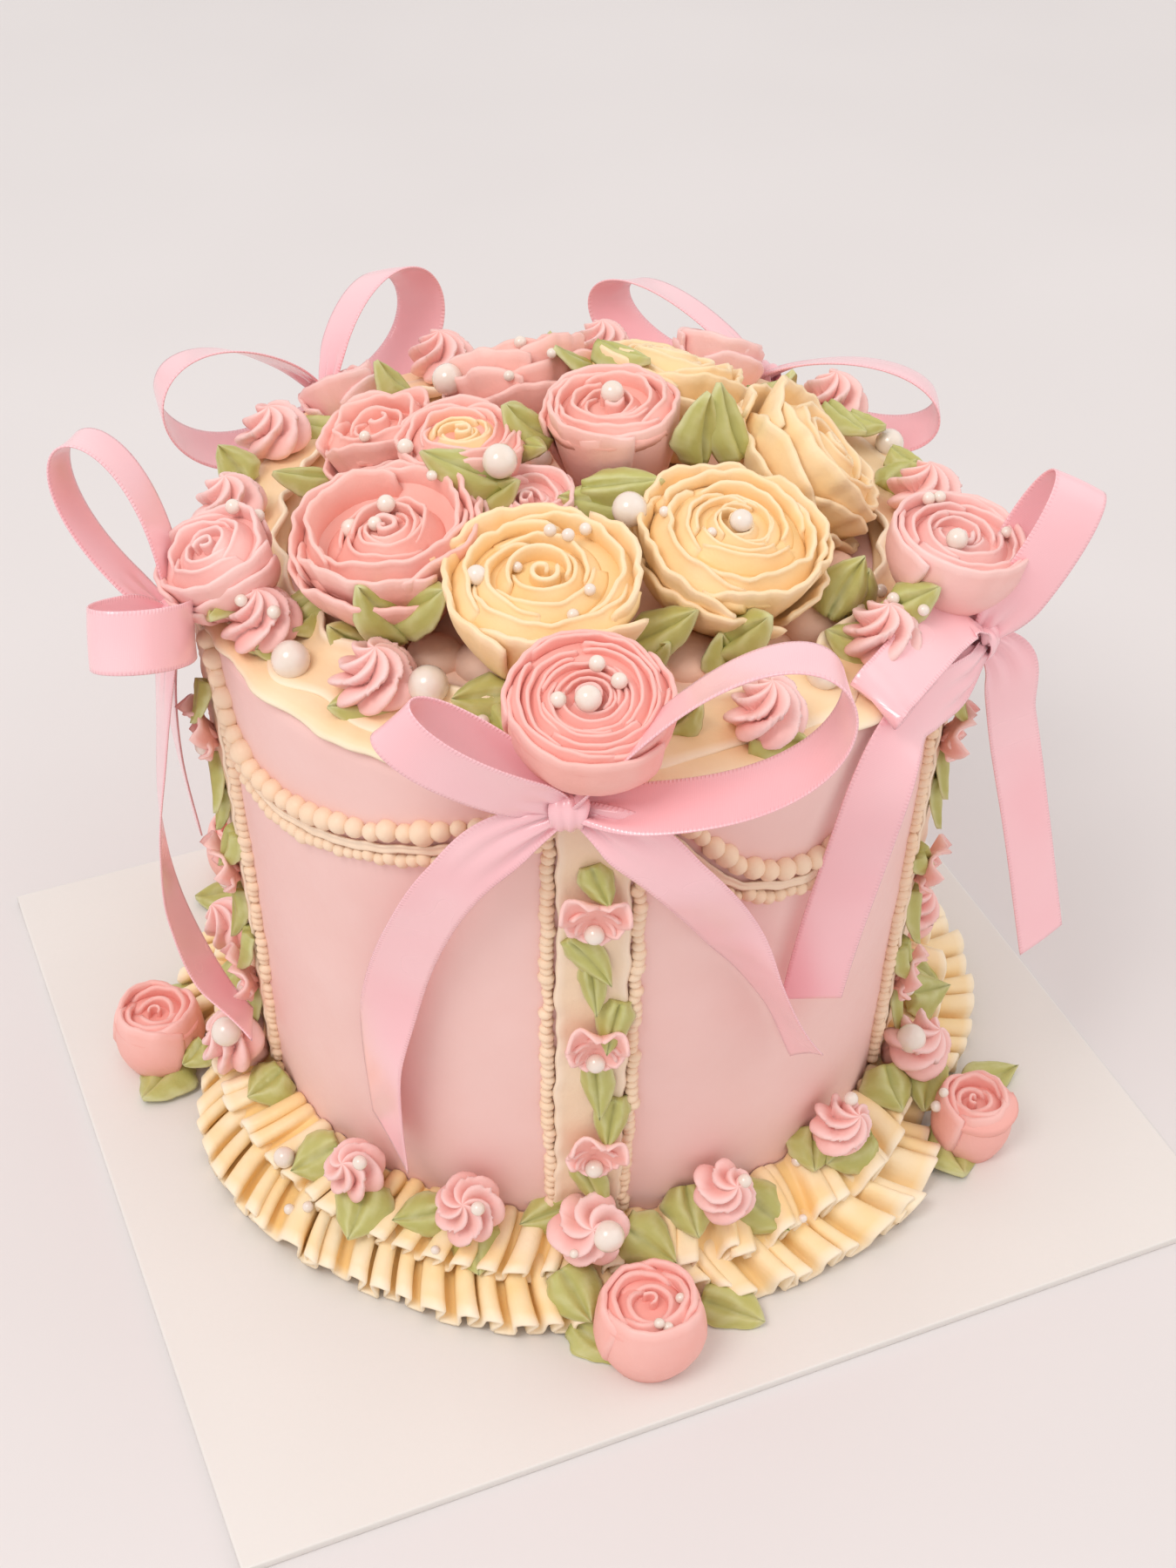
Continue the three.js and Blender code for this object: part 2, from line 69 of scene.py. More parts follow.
# radius, azimuth, height of the face, outward tilt, rose radius, depth, style
RIM_ROSES = {
    "front": (87, -0.9, 178.5, 15, 16.3, 20, "tight"),
    "right": (85.5, 70.4, 175.5, 10, 14.4, 17.5, "bowl"),
    "back_right": (84, 153, 164.5, 32, 10, 14, "frilled"),
    "back_left": (85, -136.5, 162, 34, 9.2, 13, "frilled"),
    "left": (86, -71, 174, 24, 12.4, 17, "ruffled"),
}
TOP_ROSES = {
    "a": (51.8, -11.1, 182.7, 8, 20.2, 25, "cabbage"),
    "b": (46.7, 43, 182.7, 13, 19.4, 25, "wound"),
    "c": (58, 96, 176.5, 48, 17.5, 22, "broad"),
    "d": (42, 148, 183, 26, 17.5, 24, "wound"),
    "e": (53, -54, 182.6, 10, 19, 25.5, "open"),
    "f": (6.5, 110, 190.5, -6, 14.6, 27, "garden"),
    "g": (27, -83, 187.5, 4, 13.2, 23, "stamen"),
    "h": (49, -108, 178.5, 16, 12.6, 20, "folded"),
    "i": (46, -161, 180, 38, 15.5, 22, "broad"),
}
CREAM_ROSES = "abcd"
RIM_ROSETTES = [
    (78.6, -62, 156, 6, 9.2, 12.5), (73, -37.6, 156, 4, 9.4, 12.5), (80, -96, 156, 6, 9.2, 11.5), (81, -118, 156, 6, 9.0, 11.5),
    (79, -156, 156, 4, 8.4, 12), (78.5, 26.4, 156, 6, 8.8, 12), (77, 54, 156, 4, 9.2, 12), (80, 96.5, 156, 6, 8.8, 12),
    (80, 128, 156, 6, 8.6, 12.5), (78, 174, 156, 4, 7.6, 11.5),
]
LOW_ROSETTES = [
    (89.2, -37.0, 20.5, 38, 7.8, 13), (89.0, -18.0, 22, 38, 8.5, 13), (88.8, 20.7, 24, 38, 7.8, 13), (88.6, 42.6, 25.6, 38, 7.6, 13),
    (89.2, 97, 21.5, 38, 8.2, 13), (89.2, 121, 21.5, 38, 7.8, 13), (89.2, 171, 21.5, 38, 8.2, 13), (89.2, -166, 21.5, 38, 7.8, 13),
    (89.2, -117, 21.5, 38, 8.2, 13), (89.2, -97, 21.5, 38, 7.8, 13),
]
FOOT_ROSETTE = (89.8, 20, 42, 9.4, 13)
FOOT_AZ = {"front": 0, "right": 67.5, "back_right": 147, "back_left": -139, "left": -71.3}
# radius, azimuth, rose radius, height
FOOT_ROSE = {"front": (110.5, 7.1, 12.4, 19.5), "right": (110.5, 64.4, 9.8, 17), "back_right": (110.5, 153, 10.5, 17.5), "back_left": (110.5, -123, 10.5, 17.5), "left": (110.5, -83.5, 11.2, 18)}

# bows: azimuth, rise above the other knots, loops (tip, half opening, cone, pinch), tails (rows of u, v, w, roll, width, and how far the end is slanted), flat loops (rows of u, v, w, width, and the width direction)
BOWS = {
    "front": (-3.6, 4, [((-33.5, 24.5, 5), (-0.5, 1.5, -5), 0, 0.5), ((52, 35, 5), (-4, 13.5, 0), -12, 0.55)], [
        ([(-2.6, -1, 4.4, 0, 5), (-11.5, -6, 5.5, 0, 12), (-23, -20, 4, 0, 13), (-32, -40, -0.5, 0, 13), (-38.5, -64, -6, 12, 13), (-42, -86, -10, 42, 13), (-42, -106, -12, 50, 13), (-41, -124, -12.5, 52, 13)], -11),
        ([(2.6, -1, 2.8, 0, 5), (10, -4, 5.5, 0, 12), (23, -18, 4.5, 0, 13), (35, -41.2, -4.6, 10, 13), (41.6, -56.4, -8.2, 40, 13), (47.7, -70, -10.5, 52, 13), (56.6, -91.8, -16, 34, 13)], 11)], []),
    "right": (68, 1, [((15, 35, 13.5), (-4.8, 2.5, 3.5), 0, 0.4)], [
        ([(-2.6, -1, 4.4, 0, 5), (-12, -2, 3.2, 0, 12), (-21, -1.5, -0.5, 8, 13), (-29.2, -0.8, -4.2, 22, 13), (-37.6, -4, -6, 48, 13), (-43.2, -11.8, -7.3, 70, 13), (-48.1, -26, -9.5, 79, 13), (-51.7, -45.1, -12.5, 80, 13), (-52.1, -61.9, -14.7, 76, 13), (-52.1, -69.9, -15.6, 74, 13)], 3),
        ([(2.6, -1, 2.8, 0, 5), (5, -7, 8, 30, 12), (9, -28, 12, 40, 13), (9.5, -60, 20, 40, 13), (9, -92, 28, 40, 13)], 2)],
        [([(-1.6, 1, 3.6, 5), (-2.4, 5.6, 1.4, 10), (-4.2, 8.8, -1.0, 13), (-11, 9.4, -3.6, 13), (-20.7, 8.8, -6.4, 13), (-30, 7.6, -9.2, 13), (-36, 6.6, -11, 13), (-37.2, 5.2, -11.6, 13), (-35.4, 4.2, -11.6, 13), (-21, 5.6, -7.8, 13), (-8, 4.6, -1.5, 11), (-1.4, -0.5, 2.6, 5)], (-0.40, -0.457, 0.794))]),
    "left": (-72.5, 4, [((24, 14, 16), (-3, 0, 9.0), 0, 0.3), ((-19, 37, 14.8), (2.6, 3.4, -6.6), 0, 0.4)], [
        ([(2.6, -1, 4.6, 0, 5), (-2, -15, 7, 0, 12), (-7, -40, 9.5, 4, 13), (-8.5, -66, 12, 12, 13), (-7.5, -92, 11, 26, 13), (2, -109, 6, 40, 13), (17, -116, -3, 44, 13)], -9),
        ([(-2.6, -1, 2.6, 0, 5), (-12, -18, 4, 0, 12), (-20, -48, 4, 0, 13), (-26, -82, 1, 0, 13)], 4)], []),
    "back_left": (-139, 0, [((46, 15, 5), (0, 14, 0), 20, 0.3), ((-33, 20, 5), (7, 11, 0), -20, 0.3)], [
        ([(-2.6, -1, 4.4, 0, 5), (-13, -9, 6, 0, 12), (-26, -30, 4, 0, 13), (-33, -60, 0, 20, 13), (-36, -92, -3, 10, 13)], 8),
        ([(2.6, -1, 2.8, 0, 5), (13, -9, 6, 0, 12), (25, -28, 5, 0, 13), (33, -58, 1, -20, 13), (37, -88, -3, -10, 13)], -8)], []),
    "back_right": (148, 0, [((48, 8, 5), (0, 10, 0), 20, 0.3), ((-46, 2, 6), (0, 10, 0), -20, 0.3)], [
        ([(-2.6, -1, 4.4, 0, 5), (-13, -9, 6, 0, 12), (-25, -28, 5, 0, 13), (-33, -58, 1, 20, 13), (-37, -88, -3, 10, 13)], 8),
        ([(2.6, -1, 2.8, 0, 5), (13, -9, 6, 0, 12), (26, -30, 4, 0, 13), (33, -60, 0, -20, 13), (36, -92, -3, -10, 13)], -8)], []),
}

# leaves: base (radius, azimuth, height), tip (radius, azimuth, height), width
TOP_LEAVES = [
    (71.7, -63.1, 157, 63.6, -61.4, 163, 8), (68.8, -60.0, 157, 73.7, -57.8, 158, 5), (56.9, -45.6, 160, 63.3, -50.3, 170, 9), (54.0, -46.9, 161, 50.1, -36.4, 169, 9),
    (64.8, -49.1, 157, 69.0, -51.4, 163, 6), (72.9, -34.8, 156, 82.9, -39.9, 156, 9), (64.8, -16.8, 158, 69.1, -23.8, 158, 8), (68.7, -18.8, 157, 74.3, -14.7, 156, 8),
    (59.8, -99.0, 165, 69.1, -96.7, 168, 6), (22.2, -67.5, 176, 35.6, -77.5, 183, 8), (28.7, -58.5, 174, 22.6, -39.8, 181, 8), (9.8, -91.6, 182, 17.6, -82.5, 190, 9),
    (16.2, -88.1, 181, 12.7, -45.7, 183, 6), (16.8, 6.9, 179, 24.8, 40.1, 183, 7), (21.1, 21.6, 176, 19.8, -14.1, 179, 8), (51.7, 10.7, 163, 56.2, 23.0, 170, 8),
    (53.6, 11.5, 160, 57.1, 16.0, 166, 6), (55.7, 32.1, 160, 62.7, 36.6, 169, 8), (59.1, 28.9, 158, 58.3, 26.9, 165, 7), (63.7, 55.8, 161, 66.6, 60.9, 171, 8),
    (65.4, 61.0, 158, 69.5, 62.1, 167, 7), (74.8, 64.7, 158, 81.9, 67.3, 163, 7), (75.4, 54.1, 156, 67.0, 49.9, 159, 8), (82.1, 24.2, 156, 87.3, 29.4, 156, 8),
    (72.5, 13.6, 157, 74.3, 16.8, 162, 6), (25.7, 78.5, 181, 26.3, 79.4, 195, 9), (33.6, 86.2, 180, 29.2, 90.9, 194, 9), (31.9, 177.3, 180, 27.8, 191.4, 187, 8),
    (66.5, -140.3, 164, 70.2, -137.3, 170, 7), (72.3, 122.0, 164, 74.0, 114.2, 163, 7), (78.4, 120.0, 161, 81.3, 116.2, 161, 6), (81.1, 110.1, 158, 84.9, 107.0, 157, 6),
    (59.3, 133.3, 168, 60.2, 129.0, 171, 6), (69.4, 134.9, 164, 70.4, 131.8, 169, 6), (37.4, 168.7, 182, 33.6, 150.4, 183, 7), (82.1, -107.6, 157, 86.6, -108.7, 163, 7),
    (79.7, -60.8, 156, 83.3, -60.2, 156, 5.5), (77.8, -58.1, 156, 81.8, -58.1, 156, 6), (83.1, -71.8, 156, 86.5, -68.7, 156, 5),
    # round the back, out of the photograph's sight
    (76, 104, 156, 84, 108, 157, 8), (74, 160, 156, 82, 165, 157, 8), (72, -168, 156, 80, -165, 157, 8), (70, 180, 157, 76, 184, 164, 7), (74, -128, 156, 82, -124, 157, 8), (72, -86, 156, 81, -87, 157, 8),
]
LOW_LEAVES = [
    (82.0, -4.1, 18, 84.1, -10.1, 14, 8), (88.9, 6.6, 17, 94.0, 12.2, 10, 10), (96.4, -3.1, 10, 104.0, 0.3, 5, 10), (106.1, -1.0, 3.5, 114.7, 3.7, 2.5, 11),
    (103.7, 16.2, 4, 112.2, 21.2, 3, 11), (89.8, -17.4, 15, 96.1, -15.4, 9, 10), (88.7, -23.6, 17, 92.8, -29.0, 13, 8), (90.9, -35.7, 16, 99.2, -34.6, 9, 11),
    (82.4, 17.0, 18, 89.5, 16.5, 12, 9), (87.4, 26.1, 17, 95.8, 29.7, 10, 10), (83.5, 42.4, 18, 87.7, 39.7, 14, 9), (92.3, 48.5, 17, 89.5, 42.6, 14, 12),
    (87.6, -44.8, 18, 95.6, -47.5, 14, 10), (85.3, -64.3, 17, 92.2, -63.7, 14, 11), (107.6, -79.1, 4, 116.1, -74.6, 3, 12), (100.4, -78.3, 10, 104.0, -77.1, 8, 7),
    (87.9, 62.2, 18, 93.6, 59.1, 13, 11), (98.0, 67.9, 15, 97.5, 62.3, 11, 11), (108.5, 71, 5, 117.5, 76.5, 4, 9), (105.4, 61.9, 4, 113.4, 57.0, 3, 13), (88.9, 80.0, 21, 98.4, 85.9, 14, 10),
    # the rest of the way round, two by each rosette and three by each foot rose
    (90, 91, 16, 97, 89, 11, 10), (90, 102, 16, 96, 104, 12, 9), (90, 116, 16, 97, 114, 11, 10), (90, 127, 16, 96, 129, 12, 9), (90, 165, 16, 96, 163, 11, 10), (90, 177, 16, 95, 179, 12, 9),
    (90, -172, 16, 95, -174, 12, 10), (90, -160, 16, 95, -158, 11, 9), (90, -123, 16, 96, -125, 11, 9), (90, -111, 16, 97, -109, 11, 10), (90, -103, 16, 97, -105, 11, 10), (90, -91, 16, 96, -90, 12, 9),
    (88, 140, 17, 94, 138, 12, 10), (97, 156, 9, 104, 160, 4, 10), (107, 146, 4, 113, 142, 3, 11), (88, -146, 17, 94, -149, 12, 10), (97, -131, 9, 104, -134, 5, 10), (106, -116, 4, 114, -113, 3, 11), (106, -90, 4, 113, -94, 3, 11),
]


# ---------------------------------------------------------------- frame helpers
def ang(az):
    return (np.asarray(az, float) + FRONT) * DEG


def outward(az):
    a = ang(az)
    return np.stack([np.sin(a), -np.cos(a), 0 * a], -1)


def along(az):
    a = ang(az)
    return np.stack([np.cos(a), np.sin(a), 0 * a], -1)


def at(r, az, z):
    r, az, z = np.broadcast_arrays(np.asarray(r, float), np.asarray(az, float), np.asarray(z, float))
    a = ang(az)
    return np.stack([CX + r * np.sin(a), CY - r * np.cos(a), BOARD[2] + z], -1)


def wall(z):
    return RB + (RT - RB) * np.asarray(z, float) / H


def unit(v):
    v = np.asarray(v, float)
    return v / np.maximum(np.linalg.norm(v, axis=-1, keepdims=True), 1e-12)


def smooth(a, b, x):
    t = np.clip((np.asarray(x, float) - a) / (b - a), 0, 1)
    return t * t * (3 - 2 * t)


def near(az, a, width):
    d = (np.asarray(az, float) - a + 180) % 360 - 180
    return np.exp(-((d / width) ** 2))


def wobble(rng, x, cycles, terms=3):
    """A smooth uneven wave of unit size along x in 0..1."""
    y = 0 * x
    for k in range(terms):
        y = y + np.sin(2 * np.pi * (cycles * (0.6 + 0.7 * k) * x + rng.random())) / (1 + 0.8 * k)
    return y / 1.7


def round_wave(rng, a, low, high, terms=5):
    """A wave that closes on itself round the azimuth a in degrees."""
    y = 0 * a
    for _ in range(terms):
        y = y + np.sin(rng.integers(low, high + 1) * a * DEG + 2 * np.pi * rng.random())
    return y / math.sqrt(terms)


def standing(base, az, tilt):
    """Turns points built on +Z so that they stand at base along the tilted axis."""
    axis = outward(az) * math.sin(tilt * DEG) + np.array([0, 0, math.cos(tilt * DEG)])
    side = along(az)
    basis = np.stack([side, np.cross(axis, side), axis])
    return lambda p: np.asarray(p) @ basis + base


def spline(points, n):
    """n points evenly along a smooth curve through the rows of points, all columns together."""
    P = np.asarray(points, float)
    k = len(P)
    x = np.concatenate([[0], np.cumsum(np.linalg.norm(np.diff(P[:, :3], axis=0), axis=1))])
    m = np.gradient(P, x, axis=0)
    q = np.linspace(0, x[-1], n)
    i = np.clip(np.searchsorted(x, q, side="right") - 1, 0, k - 2)
    h = (x[i + 1] - x[i])[:, None]
    t = ((q - x[i]) / h[:, 0])[:, None]
    return (2 * t**3 - 3 * t**2 + 1) * P[i] + (t**3 - 2 * t**2 + t) * h * m[i] + (-2 * t**3 + 3 * t**2) * P[i + 1] + (t**3 - t**2) * h * m[i + 1]


# ---------------------------------------------------------------- mesh helpers
class Heap:
    """Closed shells gathered into one mesh, with a painted highlight value and a tone-and-shade value (painted shade
    plus random tone) at each point.
    """

    def __init__(self):
        self.P, self.Q, self.S, self.E, self.T, self.UV = [], [], [], [], [], []
        self.n = 0

    def add(self, pts, faces, painted_highlight=0.0, tone_and_shade=0.0, slot=0, uv=None):
        pts = np.asarray(pts, float).reshape(-1, 3)
        faces = np.asarray(faces, int)
        if faces.shape[1] == 3:
            faces = np.concatenate([faces, np.full((len(faces), 1), -1)], 1)
        self.P.append(pts)
        self.Q.append(np.where(faces >= 0, faces + self.n, -1))
        self.S.append(np.full(len(faces), slot))
        self.E.append(np.broadcast_to(np.asarray(painted_highlight, float).reshape(-1), (len(pts),)))
        self.T.append(np.broadcast_to(np.asarray(tone_and_shade, float).reshape(-1), (len(pts),)))
        self.UV.append(np.zeros((len(pts), 2)) if uv is None else np.asarray(uv, float).reshape(-1, 2))
        self.n += len(pts)

    def make(self, name, *materials, uv=False):
        P, Q = np.concatenate(self.P) * MM, np.concatenate(self.Q)
        total = np.where(Q[:, 3] < 0, 3, 4)
        idx = Q.ravel()[Q.ravel() >= 0]
        me = bpy.data.meshes.new(name)
        me.vertices.add(len(P))
        me.vertices.foreach_set("co", P.astype(np.float32).ravel())
        me.loops.add(len(idx))
        me.loops.foreach_set("vertex_index", idx.astype(np.int32))
        me.polygons.add(len(Q))
        me.polygons.foreach_set("loop_start", np.concatenate([[0], np.cumsum(total)[:-1]]).astype(np.int32))
        for m in materials:
            me.materials.append(m)
        me.polygons.foreach_set("material_index", np.concatenate(self.S).astype(np.int32))
        me.update(calc_edges=True)
        for key, data in (("painted_highlight", self.E), ("tone_and_shade", self.T)):
            me.attributes.new(key, "FLOAT", "POINT").data.foreach_set("value", np.concatenate(data).astype(np.float32))
        if uv:
            me.attributes.new("weave", "FLOAT_VECTOR", "POINT").data.foreach_set("vector", np.concatenate([np.concatenate(self.UV), np.zeros((len(P), 1))], 1).astype(np.float32).ravel())
        me.validate()
        me.shade_smooth()
        o = bpy.data.objects.new(name, me)
        bpy.context.scene.collection.objects.link(o)
        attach(o, "root")
        return o


def quads(nu, nv, wrap_u=False, wrap_v=False):
    i, j = np.meshgrid(np.arange(nu if wrap_u else nu - 1), np.arange(nv if wrap_v else nv - 1), indexing="ij")
    i2, j2 = (i + 1) % nu, (j + 1) % nv
    return np.stack([i * nv + j, i2 * nv + j, i2 * nv + j2, i * nv + j2], -1).reshape(-1, 4)


def grads(P, closed):
    if closed:
        du = (np.roll(P, -1, 0) - np.roll(P, 1, 0)) / 2
    else:
        du = np.gradient(P, axis=0)
    return du, np.gradient(P, axis=1)


def shell(heap, P, thick, closed=False, painted_highlight=0.0, tone_and_shade=0.0, slot=0, uv=None, rim=0.5, rim_edge=None):
    """A thin closed sheet round the middle surface P (along, up, 3), with a rounded rim."""
    nu, nv, _ = P.shape
    du, dv = grads(P, closed)
    N = unit(np.cross(du, dv))
    t = np.broadcast_to(np.asarray(thick, float), (nu, nv))[..., None]
    e = np.broadcast_to(np.asarray(painted_highlight, float), (nu, nv))
    n = nu * nv
    F = quads(nu, nv, wrap_u=closed)
    pts = [(P + N * t / 2).reshape(-1, 3), (P - N * t / 2).reshape(-1, 3)]
    faces = [F, F[:, ::-1] + n]
    eu, ev = unit(du), unit(dv)
    I, J = [], []
    loops = []
    if closed:
        loops = [[(i, 0) for i in range(nu)], [(i, nv - 1) for i in range(nu - 1, -1, -1)]]
    else:
        loops = [[(i, 0) for i in range(nu)] + [(nu - 1, j) for j in range(1, nv)] + [(i, nv - 1) for i in range(nu - 2, -1, -1)] + [(0, j) for j in range(nv - 2, 0, -1)]]
    base = 2 * n
    re = []
    uvs = None if uv is None else [uv.reshape(-1, 2), uv.reshape(-1, 2)]
    for loop in loops:
        ij = np.array(loop)
        i, j = ij[:, 0], ij[:, 1]
        out = np.zeros((len(ij), 3))
        out += np.where((j == 0)[:, None], -ev[i, j], 0) + np.where((j == nv - 1)[:, None], ev[i, j], 0)
        if not closed:
            out += np.where((i == 0)[:, None], -eu[i, j], 0) + np.where((i == nu - 1)[:, None], eu[i, j], 0)
        mid = P[i, j] + unit(out) * t[i, j] * rim
        pts.append(mid)
        re.append(e[i, j] if rim_edge is None else np.maximum(e[i, j], rim_edge))
        if uvs is not None:
            uvs.append(uv[i, j])
        k = len(ij)
        a = i * nv + j
        b = np.roll(a, -1)
        m = base + np.arange(k)
        m2 = base + (np.arange(k) + 1) % k
        faces += [np.stack([a, m, m2, b], -1), np.stack([m, a + n, b + n, m2], -1)]
        base += k
    heap.add(np.concatenate(pts), np.concatenate(faces), np.concatenate([e.ravel(), e.ravel()] + re), tone_and_shade, slot, None if uvs is None else np.concatenate(uvs))


def skin(heap, P, painted_highlight=0.0, tone_and_shade=0.0, slot=0):
    """Rings P (rows, round, 3) joined and closed with a point at each end."""
    n, m, _ = P.shape
    pts = np.concatenate([P.reshape(-1, 3), P[0].mean(0)[None], P[-1].mean(0)[None]])
    F = quads(n, m, wrap_v=True)[:, ::-1]
    j = np.arange(m)
    low = np.stack([np.full(m, n * m), (j + 1) % m, j, np.full(m, -1)], -1)
    top = np.stack([np.full(m, n * m + 1), (n - 1) * m + j, (n - 1) * m + (j + 1) % m, np.full(m, -1)], -1)
    e = np.broadcast_to(np.asarray(painted_highlight, float), (n, m)) if np.ndim(painted_highlight) else np.full((n, m), float(painted_highlight))
    heap.add(pts, np.concatenate([F, low, top]), np.concatenate([e.ravel(), [e[0].mean(), e[-1].mean()]]), tone_and_shade, slot)


def lathe(profile, m=48, put=None):
    """Rings of the profile (r, z) round +Z."""
    p = np.asarray(profile, float)
    a = np.linspace(0, 2 * np.pi, m, endpoint=False)
    P = np.stack([p[:, :1] * np.cos(a), p[:, :1] * np.sin(a), np.repeat(p[:, 1:], m, 1)], -1)
    return P if put is None else put(P)


def balls(heap, centres, axes, nu=12, nv=8, tone_and_shade=None, slot=0):
    """Ellipsoids: axes (k, 3, 3) holds the three half axes of each as rows."""
    th = np.linspace(0, 2 * np.pi, nu, endpoint=False)
    ph = np.linspace(0, np.pi, nv + 1)[1:-1]
    ring = np.stack([np.sin(ph)[:, None] * np.cos(th), np.sin(ph)[:, None] * np.sin(th), np.repeat(-np.cos(ph)[:, None], nu, 1)], -1).reshape(-1, 3)
    U = np.concatenate([ring, [[0, 0, -1], [0, 0, 1]]])
    rows = nv - 1
    F = quads(rows, nu, wrap_v=True)[:, ::-1]
    F = np.concatenate([F, np.stack([np.full(nu, rows * nu), (np.arange(nu) + 1) % nu, np.arange(nu), np.full(nu, -1)], -1),
                        np.stack([np.full(nu, rows * nu + 1), (rows - 1) * nu + np.arange(nu), (rows - 1) * nu + (np.arange(nu) + 1) % nu, np.full(nu, -1)], -1)])
    C, A = np.asarray(centres, float), np.asarray(axes, float)
    k, m = len(C), len(U)
    P = np.einsum("md,kde->kme", U, A) + C[:, None]
    FF = np.where(F[None] >= 0, F[None] + (np.arange(k) * m)[:, None, None], -1).reshape(-1, 4)
    t = np.zeros(k) if tone_and_shade is None else np.asarray(tone_and_shade, float)
    heap.add(P.reshape(-1, 3), FF, 0.0, np.repeat(t, m), slot)


# ---------------------------------------------------------------- materials
def material(name):
    m = bpy.data.materials.new(name)
    m.use_nodes = True
    nt = m.node_tree
    return m, nt, nt.nodes["Principled BSDF"], nt.links.new


def noise(nt, link, scale, detail=3.0, rough=0.55, source=None):
    n = nt.nodes.new("ShaderNodeTexNoise")
    n.inputs["Scale"].default_value = scale
    n.inputs["Detail"].default_value = detail
    n.inputs["Roughness"].default_value = rough
    if source is None:
        source = nt.nodes.new("ShaderNodeTexCoord").outputs["Object"]
    link(source, n.inputs["Vector"])
    return n.outputs["Fac"]


def ranged(nt, link, value, a, b, c, d):
    n = nt.nodes.new("ShaderNodeMapRange")
    n.inputs["From Min"].default_value, n.inputs["From Max"].default_value = a, b
    n.inputs["To Min"].default_value, n.inputs["To Max"].default_value = c, d
    link(value, n.inputs["Value"])
    return n.outputs["Result"]


def mixed(nt, link, fac, a, b, kind="MIX"):
    n = nt.nodes.new("ShaderNodeMix")
    n.data_type, n.blend_type = "RGBA", kind
    for key, v in ((0, fac), (6, a), (7, b)):
        if hasattr(v, "is_linked"):
            link(v, n.inputs[key])
        else:
            n.inputs[key].default_value = v if key == 0 else (*v, 1.0)
    return n.outputs[2]


def attribute(nt, name):
    n = nt.nodes.new("ShaderNodeAttribute")
    n.attribute_name = name
    return n


def bumped(nt, link, height, strength, distance, normal=None):
    n = nt.nodes.new("ShaderNodeBump")
    n.inputs["Strength"].default_value, n.inputs["Distance"].default_value = strength, distance
    link(height, n.inputs["Height"])
    if normal is not None:
        link(normal, n.inputs["Normal"])
    return n.outputs["Normal"]


def icing(name, base, deep, pale, rough=0.5, grain=0.16):
    """Buttercream: uneven colour, soft smears and fine pits, with painted shade (the deep colour) where the
    tone-and-shade value is high and painted highlight (the pale colour) on rims and ridges.
    """
    m, nt, bsdf, link = material(name)
    broad, fine = noise(nt, link, 70, 2), noise(nt, link, 620, 2, 0.6)
    colour = mixed(nt, link, ranged(nt, link, broad, 0.32, 0.68, 0.0, 0.55), base, deep)
    # painted shade: valleys, creases, gaps and petal feet pulled towards the deep colour (the value also holds random
    # tone)
    colour = mixed(nt, link, ranged(nt, link, attribute(nt, "tone_and_shade").outputs["Fac"], 0.0, 1.0, 0.0, 0.8), colour, deep)
    # painted highlight: rims, ridges and tips pulled towards the pale colour
    colour = mixed(nt, link, attribute(nt, "painted_highlight").outputs["Fac"], colour, pale)
    link(colour, bsdf.inputs["Base Color"])
    link(ranged(nt, link, fine, 0.3, 0.7, rough - 0.07, rough + 0.1), bsdf.inputs["Roughness"])
    link(bumped(nt, link, fine, 1.25 * grain, 0.0005), bsdf.inputs["Normal"])
    bsdf.inputs["Specular IOR Level"].default_value = 0.42
    return m


def satin(name):
    """Satin ribbon: fine crosswise threads, a corded stitched edge and a soft sheen."""
    m, nt, bsdf, link = material(name)
    sep = nt.nodes.new("ShaderNodeSeparateXYZ")
    link(attribute(nt, "weave").outputs["Vector"], sep.inputs["Vector"])  # x along in mm, y across -1..1
    math_ = lambda op, a, b=None: _math(nt, link, op, a, b)
    across = math_("ABSOLUTE", sep.outputs["Y"])
    border = ranged(nt, link, across, 0.86, 0.93, 0.0, 1.0)
    stitch = math_("MULTIPLY", border, ranged(nt, link, math_("SINE", math_("MULTIPLY", sep.outputs["X"], 7.5)), -0.2, 0.9, 0.0, 1.0))
    threads = math_("SINE", math_("MULTIPLY", sep.outputs["X"], 21.0))
    cloud = noise(nt, link, 46, 1)
    colour = mixed(nt, link, ranged(nt, link, cloud, 0.3, 0.7, 0.0, 1.0), (0.962, 0.495, 0.54), (0.97, 0.56, 0.60))
    colour = mixed(nt, link, ranged(nt, link, stitch, 0.0, 1.0, 0.0, 0.55), colour, (0.93, 0.45, 0.50))
    colour = mixed(nt, link, ranged(nt, link, threads, -1.0, 1.0, 0.0, 0.12), colour, (1.0, 0.78, 0.80))
    link(colour, bsdf.inputs["Base Color"])
    link(ranged(nt, link, cloud, 0.3, 0.7, 0.18, 0.28), bsdf.inputs["Roughness"])
    n1 = bumped(nt, link, threads, 0.12, 0.00006)
    link(bumped(nt, link, stitch, 0.5, 0.00018, n1), bsdf.inputs["Normal"])
    bsdf.inputs["Specular IOR Level"].default_value = 0.85
    bsdf.inputs["Sheen Weight"].default_value = 0.2
    bsdf.inputs["Sheen Roughness"].default_value = 0.4
    bsdf.inputs["Sheen Tint"].default_value = (1.0, 0.85, 0.9, 1.0)
    bsdf.inputs["Anisotropic"].default_value = 0.35
    bsdf.inputs["Coat Weight"].default_value = 0.45
    bsdf.inputs["Coat Roughness"].default_value = 0.16
    return m


def _math(nt, link, op, a, b=None):
    n = nt.nodes.new("ShaderNodeMath")
    n.operation = op
    for k, v in ((0, a), (1, b)):
        if v is None:
            continue
        if hasattr(v, "is_linked"):
            link(v, n.inputs[k])
        else:
            n.inputs[k].default_value = v
    return n.outputs[0]


